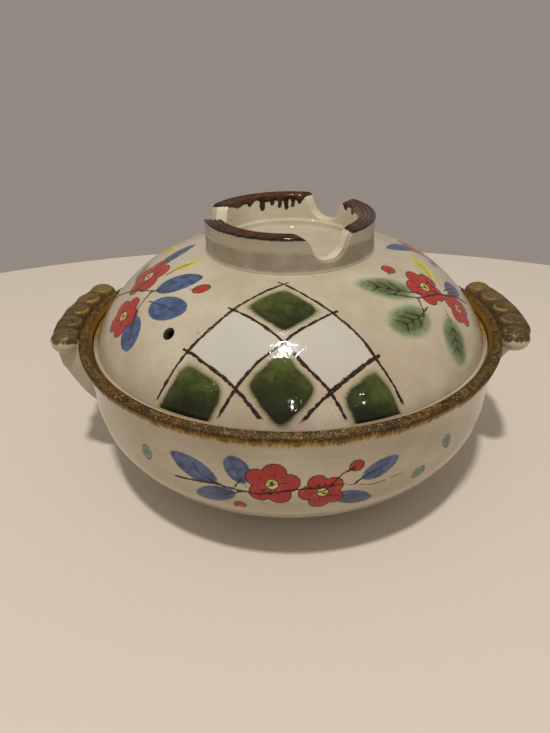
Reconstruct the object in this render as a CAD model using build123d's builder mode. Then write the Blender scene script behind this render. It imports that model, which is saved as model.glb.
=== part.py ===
"""Donabe: a lidded clay hot pot with knuckled lug handles and a notched ring knob on its lid.

Millimetres, +Z up. The origin is the centre of the foot, on the table.
+X runs through the right handle, and -Y is the front.
"""
from build123d import *
import os
from math import acos, cos, degrees, radians, sin

# Clearances, and the overrun that all cuts share
lid_play = 0.6            # between the lid's flange and the gallery wall, all round
knob_play = 0.2           # between the ring knob's bore and the step of its seat
cut_overrun = 6.0

# Bowl: belly and foot
belly_radius = 126.8      # widest part of the belly, outside
belly_height = 64.0       # where the belly stands upright
belly_curve = 47.7        # radius of the belly's arc
flank_angle = 43.0        # slope of the flank where the belly's arc ends, in degrees
foot_radius = 76.0
wall = 8.0
floor_height = 10.0       # inside floor above the table
floor_fillet = 16.0
foot_width = 16.0         # unglazed band that the pot stands on
foot_recess = 2.0
foot_round = 2.5

# Bowl: neck, rim and gallery
neck_height = 35.0        # from the belly up to the rim's ridge
neck_flare = 5.2          # how far the rim stands out from the belly
rim_slope_drop = 2.0      # outer corner below the ridge
rim_slope_width = 4.2     # outer corner out from the ridge
rim_round = 1.5
lip_width = 8.0           # outer corner to gallery wall
lead_in_drop = 3.5        # gallery's lead-in below the ridge
gallery_depth = 10.5      # ledge below the ridge
ledge_width = 9.5
ledge_nose = 3.5
ledge_round = 1.2

# Lid: flange and dome
flange_height = 7.5
flange_land = 2.8         # pale land outside the groove
flange_round = 1.0
land_slope = 0.6          # land's outer edge below its inner edge
groove_width = 1.2
groove_depth = 1.2
dome_foot_rise = 0.4      # dome's outer foot above the land
lid_rise = 60.2           # top of the crown above the flange's seat
crown_radius = 367.0
crown_turn = 8.5          # half angle of the crown's arc, in degrees
lid_wall = 6.5
lid_bearing = 11.9        # width of the flange's flat underside
lid_mouth_rise = 2.5
steam_hole_diameter = 6.5
steam_hole_inset = 20.2   # in from the dome's foot
steam_hole_azimuth = -129.0

# Ring knob
knob_radius = 50.7
knob_height = 20.4
knob_wall = 9.5
knob_flare = 0.4          # how far the ring opens out towards its top
knob_seat_depth = 0.5     # seat turned into the crown, at its outer edge
knob_round = 1.6
ring_groove_radius = 0.9
ring_groove_count = 3
ring_groove_pitch = 2.6
notch_count = 3
notch_azimuth = -64.0
notch_depth = 14.4
notch_top_width = 29.0
notch_floor_width = 15.0
notch_floor_round = 6.5
notch_shoulder_round = 4.0

# Handles: lug, corbel and knuckles
handle_setback = 2.0      # handles stand back from the pot's middle line, in degrees
lug_overhang = 16.0       # lug beyond the rim's outer corner
lug_height = 10.5
lug_rise = 2.5            # lug's top above the rim's outer corner
lug_half_length = 41.5
lug_corner_round = 7.0
lug_edge_round = 3.5
valley_drop = 1.8         # valley between rim and lug, below the rim's outer corner
valley_width = 1.5
valley_slope = 3.5
corbel_overhang = 9.5     # corbel beyond the rim's outer corner, under the lug
corbel_half_length = 37.0
corbel_face = 9.0         # height of the corbel's upper face
corbel_foot_half_length = 26.0
corbel_drop = 36.0        # foot of the corbel below the rim's outer corner
corbel_round = 6.0
knuckle_count = 5
knuckle_radius = 9.3
knuckle_length = 3.0      # straight part between its rounded ends
knuckle_reach = 8.0       # knuckle's middle beyond the rim's outer corner
knuckle_sink = 4.4        # knuckle's axis below the rim's outer corner
knuckle_pitch = 17.2
knuckle_twist = 12.0      # degrees off the radius

# Heights and radii that follow from the sizes above
ridge_height = belly_height + neck_height
corner_height = ridge_height - rim_slope_drop
ledge_height = ridge_height - gallery_depth
corner_radius = belly_radius + neck_flare
ridge_radius = corner_radius - rim_slope_width
gallery_radius = corner_radius - lip_width
ledge_radius = gallery_radius - ledge_width
belly_turn = 90 - flank_angle
recess_radius = foot_radius - foot_width

# Bowl: the outside, filled to the axis
with BuildSketch(Plane.XZ) as bowl_outline:
    with BuildLine():
        belly = JernArc((belly_radius, belly_height), (0, -1), belly_curve, -belly_turn)
        TangentArc(belly @ 1, (foot_radius, 0), tangent=belly % 1)
        TangentArc((belly_radius, belly_height), (corner_radius, corner_height), tangent=(0, 1))
        Polyline((corner_radius, corner_height), (ridge_radius, ridge_height), (0, ridge_height), (0, 0))
        Line((0, 0), (foot_radius, 0))
    make_face()
    for spot, size in (((foot_radius, 0), foot_round), ((corner_radius, corner_height), rim_round)):
        fillet(bowl_outline.vertices().sort_by_distance(spot)[0], size)

# Bowl: hollowed, with the gallery that takes the lid and a recess under the foot
with BuildPart() as bowl:
    with BuildSketch(Plane.XZ) as bowl_section:
        add(bowl_outline.sketch_local)
        with BuildLine():
            inner_belly = JernArc((belly_radius - wall, belly_height), (0, -1), belly_curve - wall, -belly_turn)
            inner_drop = (inner_belly @ 1).Y - floor_height
            inner_flank = PolarLine(inner_belly @ 1, inner_drop / sin(radians(flank_angle)), 180 + flank_angle)
            Line(inner_flank @ 1, (0, floor_height))
            TangentArc(
                (belly_radius - wall, belly_height),
                (ledge_radius, ledge_height - ledge_nose),
                tangent=(0, 1),
            )
            Polyline(
                (ledge_radius, ledge_height - ledge_nose),
                (ledge_radius, ledge_height),
                (gallery_radius, ledge_height),
                (gallery_radius, ridge_height - lead_in_drop),
                (ridge_radius, ridge_height),
                (0, ridge_height),
                (0, floor_height),
            )
        make_face(mode=Mode.SUBTRACT)
        with BuildLine():
            Polyline(
                (0, 0),
                (recess_radius, 0),
                (recess_radius - foot_recess, foot_recess),
                (0, foot_recess),
                close=True,
            )
        make_face(mode=Mode.SUBTRACT)
        fillet(bowl_section.vertices().sort_by_distance(inner_flank @ 1)[0], floor_fillet)
        fillet(bowl_section.vertices().sort_by_distance((ridge_radius, ridge_height))[0], rim_round)
        for spot in ((ledge_radius, ledge_height), (ledge_radius, ledge_height - ledge_nose)):
            fillet(bowl_section.vertices().sort_by_distance(spot)[0], ledge_round)
    revolve(axis=Axis.Z)
bowl.part.label = "bowl"

# Lid: the flange drops into the gallery and rests on its ledge
flange_radius = gallery_radius - lid_play
land_radius = flange_radius - flange_land
land_height = ledge_height + flange_height
groove_radius = land_radius - groove_width
dome_foot = (groove_radius, land_height + dome_foot_rise)
crown_height = ledge_height + lid_rise
mouth_radius = flange_radius - lid_bearing
knob_bore_radius = knob_radius - knob_wall - knob_flare
knob_foot_radius = knob_radius - knob_flare

with BuildPart() as lid:
    with BuildSketch(Plane.XZ) as lid_section:
        with BuildLine():
            crown = JernArc((0, crown_height), (1, 0), crown_radius, -crown_turn)
            side = TangentArc(crown @ 1, dome_foot, tangent=crown % 1)
            Polyline(
                dome_foot,
                (groove_radius, land_height - groove_depth),
                (land_radius, land_height - groove_depth),
                (land_radius, land_height),
                (flange_radius, land_height - land_slope),
                (flange_radius, ledge_height),
                (mouth_radius, ledge_height),
                (mouth_radius, ledge_height + lid_mouth_rise),
            )
            inner_crown = JernArc((0, crown_height - lid_wall), (1, 0), crown_radius - lid_wall, -crown_turn)
            TangentArc(
                inner_crown @ 1,
                (mouth_radius, ledge_height + lid_mouth_rise),
                tangent=inner_crown % 1,
            )
            Line((0, crown_height - lid_wall), (0, crown_height))
        make_face()
        for spot in ((flange_radius, land_height - land_slope), (flange_radius, ledge_height)):
            fillet(lid_section.vertices().sort_by_distance(spot)[0], flange_round)
    revolve(axis=Axis.Z)
    # Seat of the ring knob: a flat band turned into the crown
    seat_edge = crown_height - crown_radius + (crown_radius**2 - knob_foot_radius**2) ** 0.5
    seat_height = seat_edge - knob_seat_depth
    with BuildSketch(Plane.XY.offset(seat_height)):
        Circle(knob_foot_radius + knob_play)
        Circle(knob_bore_radius - knob_play, mode=Mode.SUBTRACT)
    extrude(amount=cut_overrun, mode=Mode.SUBTRACT)
    # Steam hole, square to the dome
    steam_hole_reach = groove_radius - steam_hole_inset
    side_centre = side.arc_center
    hole_height = side_centre.Y + (side.radius**2 - (steam_hole_reach - side_centre.X) ** 2) ** 0.5
    hole_tilt = degrees(acos((hole_height - side_centre.Y) / side.radius))
    hole_turn = radians(steam_hole_azimuth)
    hole_plane = Plane(
        origin=(steam_hole_reach * cos(hole_turn), steam_hole_reach * sin(hole_turn), hole_height),
        z_dir=(
            sin(radians(hole_tilt)) * cos(hole_turn),
            sin(radians(hole_tilt)) * sin(hole_turn),
            cos(radians(hole_tilt)),
        ),
    )
    with Locations(hole_plane):
        Hole(steam_hole_diameter / 2, depth=lid_wall + cut_overrun)
lid.part.label = "lid"

# Ring knob: a grooved ring with rounded notches, seated flat on the crown
knob_top = seat_height + knob_height
knob_middle = knob_radius - knob_wall / 2
groove_start = knob_middle - ring_groove_pitch * (ring_groove_count - 1) / 2

with BuildPart() as notch_cutter:
    with BuildSketch(Plane.YZ) as notch_shape:
        with BuildLine():
            Polyline(
                (-notch_top_width / 2 - notch_shoulder_round, knob_top + cut_overrun),
                (-notch_top_width / 2 - notch_shoulder_round, knob_top),
                (-notch_top_width / 2, knob_top),
                (-notch_floor_width / 2, knob_top - notch_depth),
                (notch_floor_width / 2, knob_top - notch_depth),
                (notch_top_width / 2, knob_top),
                (notch_top_width / 2 + notch_shoulder_round, knob_top),
                (notch_top_width / 2 + notch_shoulder_round, knob_top + cut_overrun),
                close=True,
            )
        make_face()
        for spot in (-notch_floor_width / 2, notch_floor_width / 2):
            corner = notch_shape.vertices().sort_by_distance((spot, knob_top - notch_depth))[0]
            fillet(corner, notch_floor_round)
        for spot in (-notch_top_width / 2, notch_top_width / 2):
            fillet(notch_shape.vertices().sort_by_distance((spot, knob_top))[0], notch_shoulder_round)
    extrude(amount=knob_wall, both=True)

with BuildPart() as ring_knob:
    with BuildSketch(Plane.XZ) as knob_section:
        with BuildLine():
            Polyline(
                (knob_bore_radius, seat_height),
                (knob_foot_radius, seat_height),
                (knob_radius, knob_top),
                (knob_radius - knob_wall, knob_top),
                close=True,
            )
        make_face()
        fillet(knob_section.vertices().group_by(Axis.Y)[-1], knob_round)
    revolve(axis=Axis.Z)
    with BuildSketch(Plane.XZ):
        for step in range(ring_groove_count):
            with Locations((groove_start + step * ring_groove_pitch, knob_top + ring_groove_radius / 2)):
                Circle(ring_groove_radius)
    revolve(axis=Axis.Z, mode=Mode.SUBTRACT)
    with PolarLocations(knob_middle, notch_count, start_angle=notch_azimuth):
        add(notch_cutter.part, mode=Mode.SUBTRACT)
ring_knob.part.label = "ring_knob"

# Handles: a lug on a corbel, with a row of thumbed knuckles along its top
lug_radius = corner_radius + lug_overhang
lug_top = corner_height + lug_rise
lug_bottom = lug_top - lug_height
corbel_radius = corner_radius + corbel_overhang
knuckle_middle = corner_radius + knuckle_reach
knuckle_height = corner_height - knuckle_sink
knuckle_step = degrees(knuckle_pitch / knuckle_middle)
knuckle_start = -knuckle_step * (knuckle_count - 1) / 2
twist = radians(knuckle_twist)
twist_direction = (cos(twist), sin(twist), 0)
corbel_foot_radius = belly_radius - wall / 4

with BuildPart() as knuckle:
    knuckle_plane = Plane(
        origin=(0, 0, knuckle_height),
        x_dir=twist_direction,
        z_dir=(sin(twist), -cos(twist), 0),
    )
    with BuildSketch(knuckle_plane):
        with BuildLine():
            outer_end = CenterArc((knuckle_length / 2, 0), knuckle_radius, 0, 90)
            inner_end = CenterArc((-knuckle_length / 2, 0), knuckle_radius, 90, 90)
            Line(outer_end @ 1, inner_end @ 0)
            Line(inner_end @ 1, outer_end @ 0)
        make_face()
    revolve(axis=Axis((0, 0, knuckle_height), twist_direction))
    split(bisect_by=Plane.XY.offset(lug_bottom), keep=Keep.TOP)

with BuildPart() as corbel:
    corbel_sections = (
        (corbel_radius, corbel_half_length, lug_bottom + lug_edge_round),
        (corbel_radius, corbel_half_length, lug_bottom - corbel_face),
        (corbel_foot_radius, corbel_foot_half_length, corner_height - corbel_drop),
    )
    for radius, half_length, height in corbel_sections:
        with BuildSketch(Plane.XY.offset(height)) as corbel_plan:
            Circle(radius)
            Rectangle(radius, 2 * half_length, align=(Align.MIN, Align.CENTER), mode=Mode.INTERSECT)
            fillet(corbel_plan.vertices().group_by(Axis.X)[-1], corbel_round)
    loft(ruled=True)

with BuildPart() as handle:
    with BuildSketch(Plane.XY.offset(lug_bottom)) as lug_plan:
        Circle(lug_radius)
        Rectangle(lug_radius, 2 * lug_half_length, align=(Align.MIN, Align.CENTER), mode=Mode.INTERSECT)
        fillet(lug_plan.vertices().group_by(Axis.X)[-1], lug_corner_round)
    extrude(amount=lug_height)
    back_edges = handle.edges().group_by(Axis.X)[0]
    fillet(handle.edges().filter_by(Axis.Z, reverse=True) - back_edges, lug_edge_round)
    add(corbel.part)
    with PolarLocations(
        knuckle_middle, knuckle_count, start_angle=knuckle_start, angular_range=-2 * knuckle_start, endpoint=True
    ):
        add(knuckle.part)
    # Valley between the rim and the lug
    with BuildSketch(Plane.XZ):
        with BuildLine():
            Polyline(
                (0, corner_height - valley_drop),
                (corner_radius + valley_width, corner_height - valley_drop),
                (corner_radius + valley_width + valley_slope, lug_top),
                (corner_radius + valley_width + valley_slope, lug_top + cut_overrun),
                (0, lug_top + cut_overrun),
                close=True,
            )
        make_face()
    revolve(axis=Axis.Z, mode=Mode.SUBTRACT)
    # The back follows the bowl's outside
    revolve(bowl_outline.sketch, axis=Axis.Z, mode=Mode.SUBTRACT)

with BuildPart() as handle_right:
    add(handle.part, rotation=(0, 0, handle_setback))
handle_right.part.label = "handle_right"

with BuildPart() as handle_left:
    mirror(handle_right.part, about=Plane.YZ)
handle_left.part.label = "handle_left"

os.makedirs("parts", exist_ok=True)
export_step(bowl.part, "parts/bowl.step")
export_step(handle_left.part, "parts/handle_left.step")
export_step(handle_right.part, "parts/handle_right.step")
export_step(lid.part, "parts/lid.step")
export_step(ring_knob.part, "parts/ring_knob.step")
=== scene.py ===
"""Looks of the donabe: turned, luted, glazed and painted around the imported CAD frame.

The CAD holds the pot's construction. This script throws the same forms again as fine meshes, softens
their edges as fired clay is soft, and dresses them in procedural glazes and brushwork. Every object
stays at the origin and carries its place in its mesh, in metres. Sizes are given in millimetres.
"""

import logging
import math
from dataclasses import dataclass, field, replace
from enum import Enum
from typing import Callable, Iterable, Sequence

import bmesh
import bpy
import numpy as np
from mathutils import Matrix, Vector


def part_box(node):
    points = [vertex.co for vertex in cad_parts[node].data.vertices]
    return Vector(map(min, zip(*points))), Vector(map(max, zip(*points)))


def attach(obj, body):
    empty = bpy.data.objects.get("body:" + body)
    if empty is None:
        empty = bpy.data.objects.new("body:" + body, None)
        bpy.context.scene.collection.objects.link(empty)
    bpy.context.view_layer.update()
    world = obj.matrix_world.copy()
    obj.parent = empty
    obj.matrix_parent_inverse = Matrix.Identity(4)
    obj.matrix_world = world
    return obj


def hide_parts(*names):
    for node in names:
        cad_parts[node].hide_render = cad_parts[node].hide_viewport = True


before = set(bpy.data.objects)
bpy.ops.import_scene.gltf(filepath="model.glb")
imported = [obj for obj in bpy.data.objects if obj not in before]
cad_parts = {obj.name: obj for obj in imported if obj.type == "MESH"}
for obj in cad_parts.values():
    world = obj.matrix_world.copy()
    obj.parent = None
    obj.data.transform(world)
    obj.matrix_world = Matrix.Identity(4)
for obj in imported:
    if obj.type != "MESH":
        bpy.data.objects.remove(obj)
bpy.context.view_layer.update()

log = logging.getLogger("donabe")

MM = 0.001
"""Metres in a millimetre."""

Point = tuple[float, float]
"""A point of a turned section, (distance from the wheel's axis, height), or of a painted ground, in millimetres."""

Pair = tuple[float, float]
"""Two numbers that belong together, such as the ends of a range."""

Object = bpy.types.Object
BMesh = bmesh.types.BMesh


class Body(Enum):
    """The CAD bodies that the pieces ride on."""

    POT = "pot"
    LID = "lid"


class Pigment(Enum):
    """Painter's colours, each with an attribute that holds its distance in millimetres."""

    RED = "paint_red"
    BLUE = "paint_blue"
    GREEN = "paint_green"
    YELLOW = "paint_yellow"
    JADE = "paint_jade"


IRON_LINE = "paint_iron"
"""Attribute of the brush lines: squared distance, counted in half widths of the line."""

POUR = "pour"
"""Attribute of a poured glaze: how far inside its edge a vertex lies, in millimetres."""

AMBER = "amber"
"""Attribute of the handles: how thin the glaze runs over a knuckle's edge, from 0 to 1."""

CREASE_SHADE = "crease_shade"
# Attribute of the handles: how much painted shade a vertex gets for lying deep between two knuckles, from 0 to 1.
"""Attribute of the handles: how deep between two knuckles a vertex lies, from 0 to 1."""

LATTICE_DOWN = "lattice_down"
LATTICE_ACROSS = "lattice_across"
"""Attributes of the diamond lattice: how many cells down each of its two slanted directions."""


# Turned sections


def polar(reach: float, degrees: float, middle: Point = (0.0, 0.0)) -> Point:
    """The point at a distance from another one, in the direction given in degrees."""
    turn = math.radians(degrees)
    return middle[0] + reach * math.cos(turn), middle[1] + reach * math.sin(turn)


def turn_z(degrees: float, size: int = 4) -> Matrix:
    """The matrix, of the size given, that turns round the pot's axis."""
    return Matrix.Rotation(math.radians(degrees), size, "Z")


def tangent_arc(start: Point, end: Point, leaving: Point, step: float) -> list[Point]:
    """Points on the arc that leaves a point along a direction and ends at another.

    Args:
        start: where the arc begins; it is not among the points returned.
        end: where the arc ends; it is the last point returned.
        leaving: the direction in which the arc leaves its start, of any length.
        step: the greatest distance between points, in millimetres.

    Returns:
        The points after the start, in order.
    """
    p, q, d = np.array(start), np.array(end), np.array(leaving, float)
    d /= np.linalg.norm(d)
    normal = np.array((-d[1], d[0]))
    chord = q - p
    bulge = float(chord @ normal)
    if abs(bulge) < 1e-9:
        count = max(1, math.ceil(np.linalg.norm(chord) / step))
        return [tuple(p + chord * k / count) for k in range(1, count + 1)]
    radius = float(chord @ chord) / (2 * bulge)
    centre = p + normal * radius
    first = math.atan2(*(p - centre)[::-1])
    last = math.atan2(*(q - centre)[::-1])
    sweep = last - first
    if radius > 0 and sweep < 0:
        sweep += 2 * math.pi
    if radius < 0 and sweep > 0:
        sweep -= 2 * math.pi
    count = max(2, math.ceil(abs(radius * sweep) / step))
    angles = [first + sweep * k / count for k in range(1, count + 1)]
    return [(centre[0] + abs(radius) * math.cos(a), centre[1] + abs(radius) * math.sin(a)) for a in angles]


UNDIVIDED = 400.0
"""A step so long that a line of a section stays in one piece."""


@dataclass
class Section:
    """A section for the wheel: a chain of points from the axis, round the wall and back to the axis."""

    points: list[Point] = field(default_factory=list)

    def line(self, end: Point, step: float = 6.0) -> "Section":
        """Goes straight to a point, with steps no longer than the one given."""
        if not self.points:
            self.points.append(end)
            return self
        start = np.array(self.points[-1])
        run = np.array(end) - start
        count = max(1, math.ceil(np.linalg.norm(run) / step))
        self.points += [tuple(start + run * k / count) for k in range(1, count + 1)]
        return self

    def arc(self, end: Point, leaving: Point | None = None, arriving: Point | None = None,
            step: float = 6.0) -> "Section":
        """Goes on along an arc whose direction is known at its start or at its end.

        Args:
            end: where the arc ends.
            leaving: its direction at the start, or None if the next one is given.
            arriving: its direction at the end.
            step: the greatest distance between points, in millimetres.

        Returns:
            The section itself, so that calls can be chained.
        """
        start = self.points[-1]
        if leaving is not None:
            self.points += tangent_arc(start, end, leaving, step)
            return self
        back = tangent_arc(end, start, (-arriving[0], -arriving[1]), step)
        self.points += [*back[-2::-1], end]
        return self

    def round(self, corner: Point, radius: float, count: int = 4) -> "Section":
        """Rounds one corner of the chain.

        Args:
            corner: the point to round, or one close by.
            radius: how far from the corner the rounding starts, in millimetres.
            count: number of pieces in the rounding.

        Returns:
            The section itself, so that calls can be chained.
        """
        places = np.array(self.points)
        at = int(np.argmin(np.linalg.norm(places - np.array(corner), axis=1)))
        top = places[at]
        before, after = at, at
        while before > 0 and np.linalg.norm(places[before] - top) < radius:
            before -= 1
        while after < len(places) - 1 and np.linalg.norm(places[after] - top) < radius:
            after += 1
        ends = []
        for near, far in ((before + 1, before), (after - 1, after)):
            run = places[far] - places[near]
            spare = radius - np.linalg.norm(places[near] - top)
            ends.append(places[near] + run * min(1.0, spare / max(np.linalg.norm(run), 1e-9)))
        bend = []
        for k in range(count + 1):
            t = k / count
            bend.append(tuple((1 - t) ** 2 * ends[0] + 2 * t * (1 - t) * top + t**2 * ends[1]))
        self.points[before + 1:after] = bend
        return self

    def runs(self) -> np.ndarray:
        """Distance along the chain from its start to each point, in millimetres."""
        steps = np.linalg.norm(np.diff(np.array(self.points), axis=0), axis=1)
        return np.concatenate(([0.0], np.cumsum(steps)))


# Mesh making

DOUBLINGS = 5
"""How often the sector of a whole turn is doubled."""

MERGE_MM = 2e-3
"""Vertices closer than this become one."""


def finish_mesh(shape: BMesh, name: str) -> Object:
    """Turns a bmesh in millimetres into a smooth object in metres, and frees the bmesh.

    Args:
        shape: the closed shape, in millimetres.
        name: the new object's name.

    Returns:
        The object, linked to the scene.
    """
    bmesh.ops.remove_doubles(shape, verts=shape.verts, dist=MERGE_MM)
    bmesh.ops.recalc_face_normals(shape, faces=shape.faces)
    bmesh.ops.scale(shape, vec=(MM, MM, MM), verts=shape.verts)
    mesh = bpy.data.meshes.new(name)
    shape.to_mesh(mesh)
    shape.free()
    mesh.shade_smooth()
    made = bpy.data.objects.new(name, mesh)
    bpy.context.scene.collection.objects.link(made)
    return made


def throw(section: Section, steps: int, turn: float = math.tau) -> BMesh:
    """Spins a section round the wheel's axis.

    A whole turn is spun as a narrow sector, which is doubled until it closes: that is much quicker.

    Args:
        section: the section, in millimetres.
        steps: number of steps round, for a whole turn a multiple of 2**DOUBLINGS.
        turn: how far to turn, in radians; a part turn is centred on the X axis and closed at its ends.

    Returns:
        The turned shape.
    """
    shape = bmesh.new()
    verts = [shape.verts.new((r, 0.0, z)) for r, z in section.points]
    whole = math.isclose(turn, math.tau)
    pairs = list(zip(verts, verts[1:]))
    if not whole:
        pairs.append((verts[-1], verts[0]))
    edges = [shape.edges.new(pair) for pair in pairs]
    if not whole:
        bmesh.ops.rotate(shape, verts=verts, cent=(0, 0, 0), matrix=Matrix.Rotation(-turn / 2, 3, "Z"))
    doublings = DOUBLINGS if whole else 0
    sector = turn / 2**doublings
    bmesh.ops.spin(shape, geom=verts + edges, cent=(0, 0, 0), axis=(0, 0, 1), angle=sector,
                   steps=steps // 2**doublings, use_merge=False, use_normal_flip=False, use_duplicate=False)
    for k in range(doublings):
        twin = bmesh.ops.duplicate(shape, geom=[*shape.verts, *shape.edges, *shape.faces])
        bmesh.ops.rotate(shape, verts=verts_of(twin), cent=(0, 0, 0), matrix=Matrix.Rotation(sector * 2**k, 3, "Z"))
    if not whole:
        bmesh.ops.holes_fill(shape, edges=[e for e in shape.edges if e.is_boundary], sides=0)
    return shape


def merge(parts: Iterable[BMesh]) -> BMesh:
    """Puts several shapes in one bmesh and frees them."""
    whole = bmesh.new()
    for part in parts:
        carrier = bpy.data.meshes.new("carrier")
        part.to_mesh(carrier)
        part.free()
        whole.from_mesh(carrier)
        bpy.data.meshes.remove(carrier)
    return whole


def settle(piece: Object) -> None:
    """Applies a piece's modifiers to its mesh."""
    graph = bpy.context.evaluated_depsgraph_get()
    finished = bpy.data.meshes.new_from_object(piece.evaluated_get(graph))
    finished.name = piece.data.name
    piece.modifiers.clear()
    old = piece.data
    piece.data = finished
    bpy.data.meshes.remove(old)
    piece.data.shade_smooth()


def carve(piece: Object, cutters: Sequence[Object]) -> None:
    """Cuts shapes out of a piece, and removes the shapes.

    Args:
        piece: the piece to cut.
        cutters: closed objects that are taken away from it.
    """
    for cutter in cutters:
        cut = piece.modifiers.new("cut", "BOOLEAN")
        cut.operation = "DIFFERENCE"
        cut.solver = "MANIFOLD"
        cut.object = cutter
    settle(piece)
    for cutter in cutters:
        mesh = cutter.data
        bpy.data.objects.remove(cutter)
        bpy.data.meshes.remove(mesh)


def knead(piece: Object, grain: float, rounds: int) -> None:
    """Melts a piece's overlapping lumps into one skin and softens its edges, as wet clay is smoothed.

    Args:
        piece: the piece to knead.
        grain: the size of the skin's cells, in millimetres.
        rounds: how often the skin is smoothed.
    """
    skin = piece.modifiers.new("skin", "REMESH")
    skin.mode = "VOXEL"
    skin.voxel_size = grain * MM
    soften = piece.modifiers.new("soften", "SMOOTH")
    soften.factor = 0.5
    soften.iterations = rounds
    settle(piece)


def verts_of(made: dict[str, list]) -> list[bmesh.types.BMVert]:
    """The vertices among what an operator made."""
    return [part for part in made["geom"] if isinstance(part, bmesh.types.BMVert)]


def places(piece: Object) -> np.ndarray:
    """The places of a piece's vertices, in millimetres, one row each."""
    flat = np.empty(len(piece.data.vertices) * 3, np.float32)
    piece.data.vertices.foreach_get("co", flat)
    return flat.reshape(-1, 3).astype(float) / MM


def round_axis(xyz: np.ndarray) -> tuple[np.ndarray, np.ndarray]:
    """The directions of places round the axis, in degrees, and their distances from it."""
    return np.degrees(np.arctan2(xyz[:, 1], xyz[:, 0])), np.hypot(xyz[:, 0], xyz[:, 1])


def set_places(piece: Object, xyz: np.ndarray) -> None:
    """Moves a piece's vertices to the places given, in millimetres."""
    piece.data.vertices.foreach_set("co", (xyz * MM).astype(np.float32).ravel())
    piece.data.update()


def mark(piece: Object, name: str, values: np.ndarray) -> None:
    """Stores one number for each vertex of a piece, as an attribute that its glaze reads."""
    layer = piece.data.attributes.new(name, "FLOAT", "POINT")
    layer.data.foreach_set("value", values.astype(np.float32))


# Brushwork


class Brushwork:
    """The painter's ground on one piece: where each vertex lies, and what is painted there so far."""

    FAR = 9.0
    """Distances are kept up to this many millimetres."""

    def __init__(self, azimuth: np.ndarray, reach: np.ndarray, run: np.ndarray) -> None:
        """Starts with a bare ground.

        Args:
            azimuth: each vertex's direction round the axis, in degrees.
            reach: each vertex's distance from the axis, in millimetres.
            run: each vertex's distance up the wall or up the dome, in millimetres.
        """
        self.azimuth = azimuth
        self.reach = reach
        self.run = run
        self.x = self.y = np.zeros(len(run))
        self.fills = {pigment: np.full(len(run), self.FAR) for pigment in Pigment}
        self.lines = np.full(len(run), self.FAR**2)

    def stand(self, azimuth: float, run: float) -> None:
        """Counts from a spot from now on, and from its twin on the far side of the piece.

        Args:
            azimuth: direction of the spot, in degrees.
            run: how far up the wall it lies, in millimetres.
        """
        turned = (self.azimuth - azimuth + 90.0) % 180.0 - 90.0
        self.x, self.y = np.radians(turned) * self.reach, self.run - run

    def at(self, spot: Point, lean: float = 0.0) -> tuple[np.ndarray, np.ndarray]:
        """Ground coordinates around a point, the first one along a direction.

        Args:
            spot: the point, counted from the spot that the painter stands at.
            lean: the direction, in degrees from the right.

        Returns:
            How far each vertex lies along that direction, and how far to the left of it.
        """
        c, s = polar(1.0, lean)
        px, py = self.x - spot[0], self.y - spot[1]
        return px * c + py * s, py * c - px * s

    def fill(self, pigment: Pigment, distance: np.ndarray) -> None:
        """Adds a filled shape, given by the distance to its edge, which is negative inside."""
        np.minimum(self.fills[pigment], distance, out=self.fills[pigment])

    def clear(self, pigment: Pigment, distance: np.ndarray) -> None:
        """Takes a shape out of what is painted in one colour."""
        np.maximum(self.fills[pigment], -distance, out=self.fills[pigment])

    def line(self, squared: np.ndarray) -> None:
        """Adds a brush line, given by its squared distance in half widths."""
        np.minimum(self.lines, squared, out=self.lines)

    def wipe(self, where: np.ndarray) -> None:
        """Takes away all that is painted on some vertices."""
        for distance in self.fills.values():
            distance[where] = self.FAR
        self.lines[where] = self.FAR**2

    def store(self, piece: Object) -> None:
        """Writes everything painted so far to a piece's attributes."""
        for pigment, distance in self.fills.items():
            mark(piece, pigment.value, np.clip(distance, -self.FAR, self.FAR))
        mark(piece, IRON_LINE, np.clip(self.lines, 0.0, self.FAR**2))


@dataclass(frozen=True)
class Stroke:
    """A brush line along a bent path that swells and thins."""

    path: tuple[Point, ...]
    width: float = 1.5
    tip: float = 0.55
    """Width of the line's end, as a share of its width at the start."""

    def paint(self, work: Brushwork) -> None:
        """Paints the line."""
        spans = list(zip(self.path, self.path[1:]))
        for k, ((ax, ay), (bx, by)) in enumerate(spans):
            px, py, dx, dy = work.x - ax, work.y - ay, bx - ax, by - ay
            t = np.clip((px * dx + py * dy) / (dx * dx + dy * dy), 0.0, 1.0)
            share = (k + t) / len(spans)
            half = self.width / 2 * (1.0 + (self.tip - 1.0) * share)
            work.line(((px - t * dx) ** 2 + (py - t * dy) ** 2) / half**2)


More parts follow.
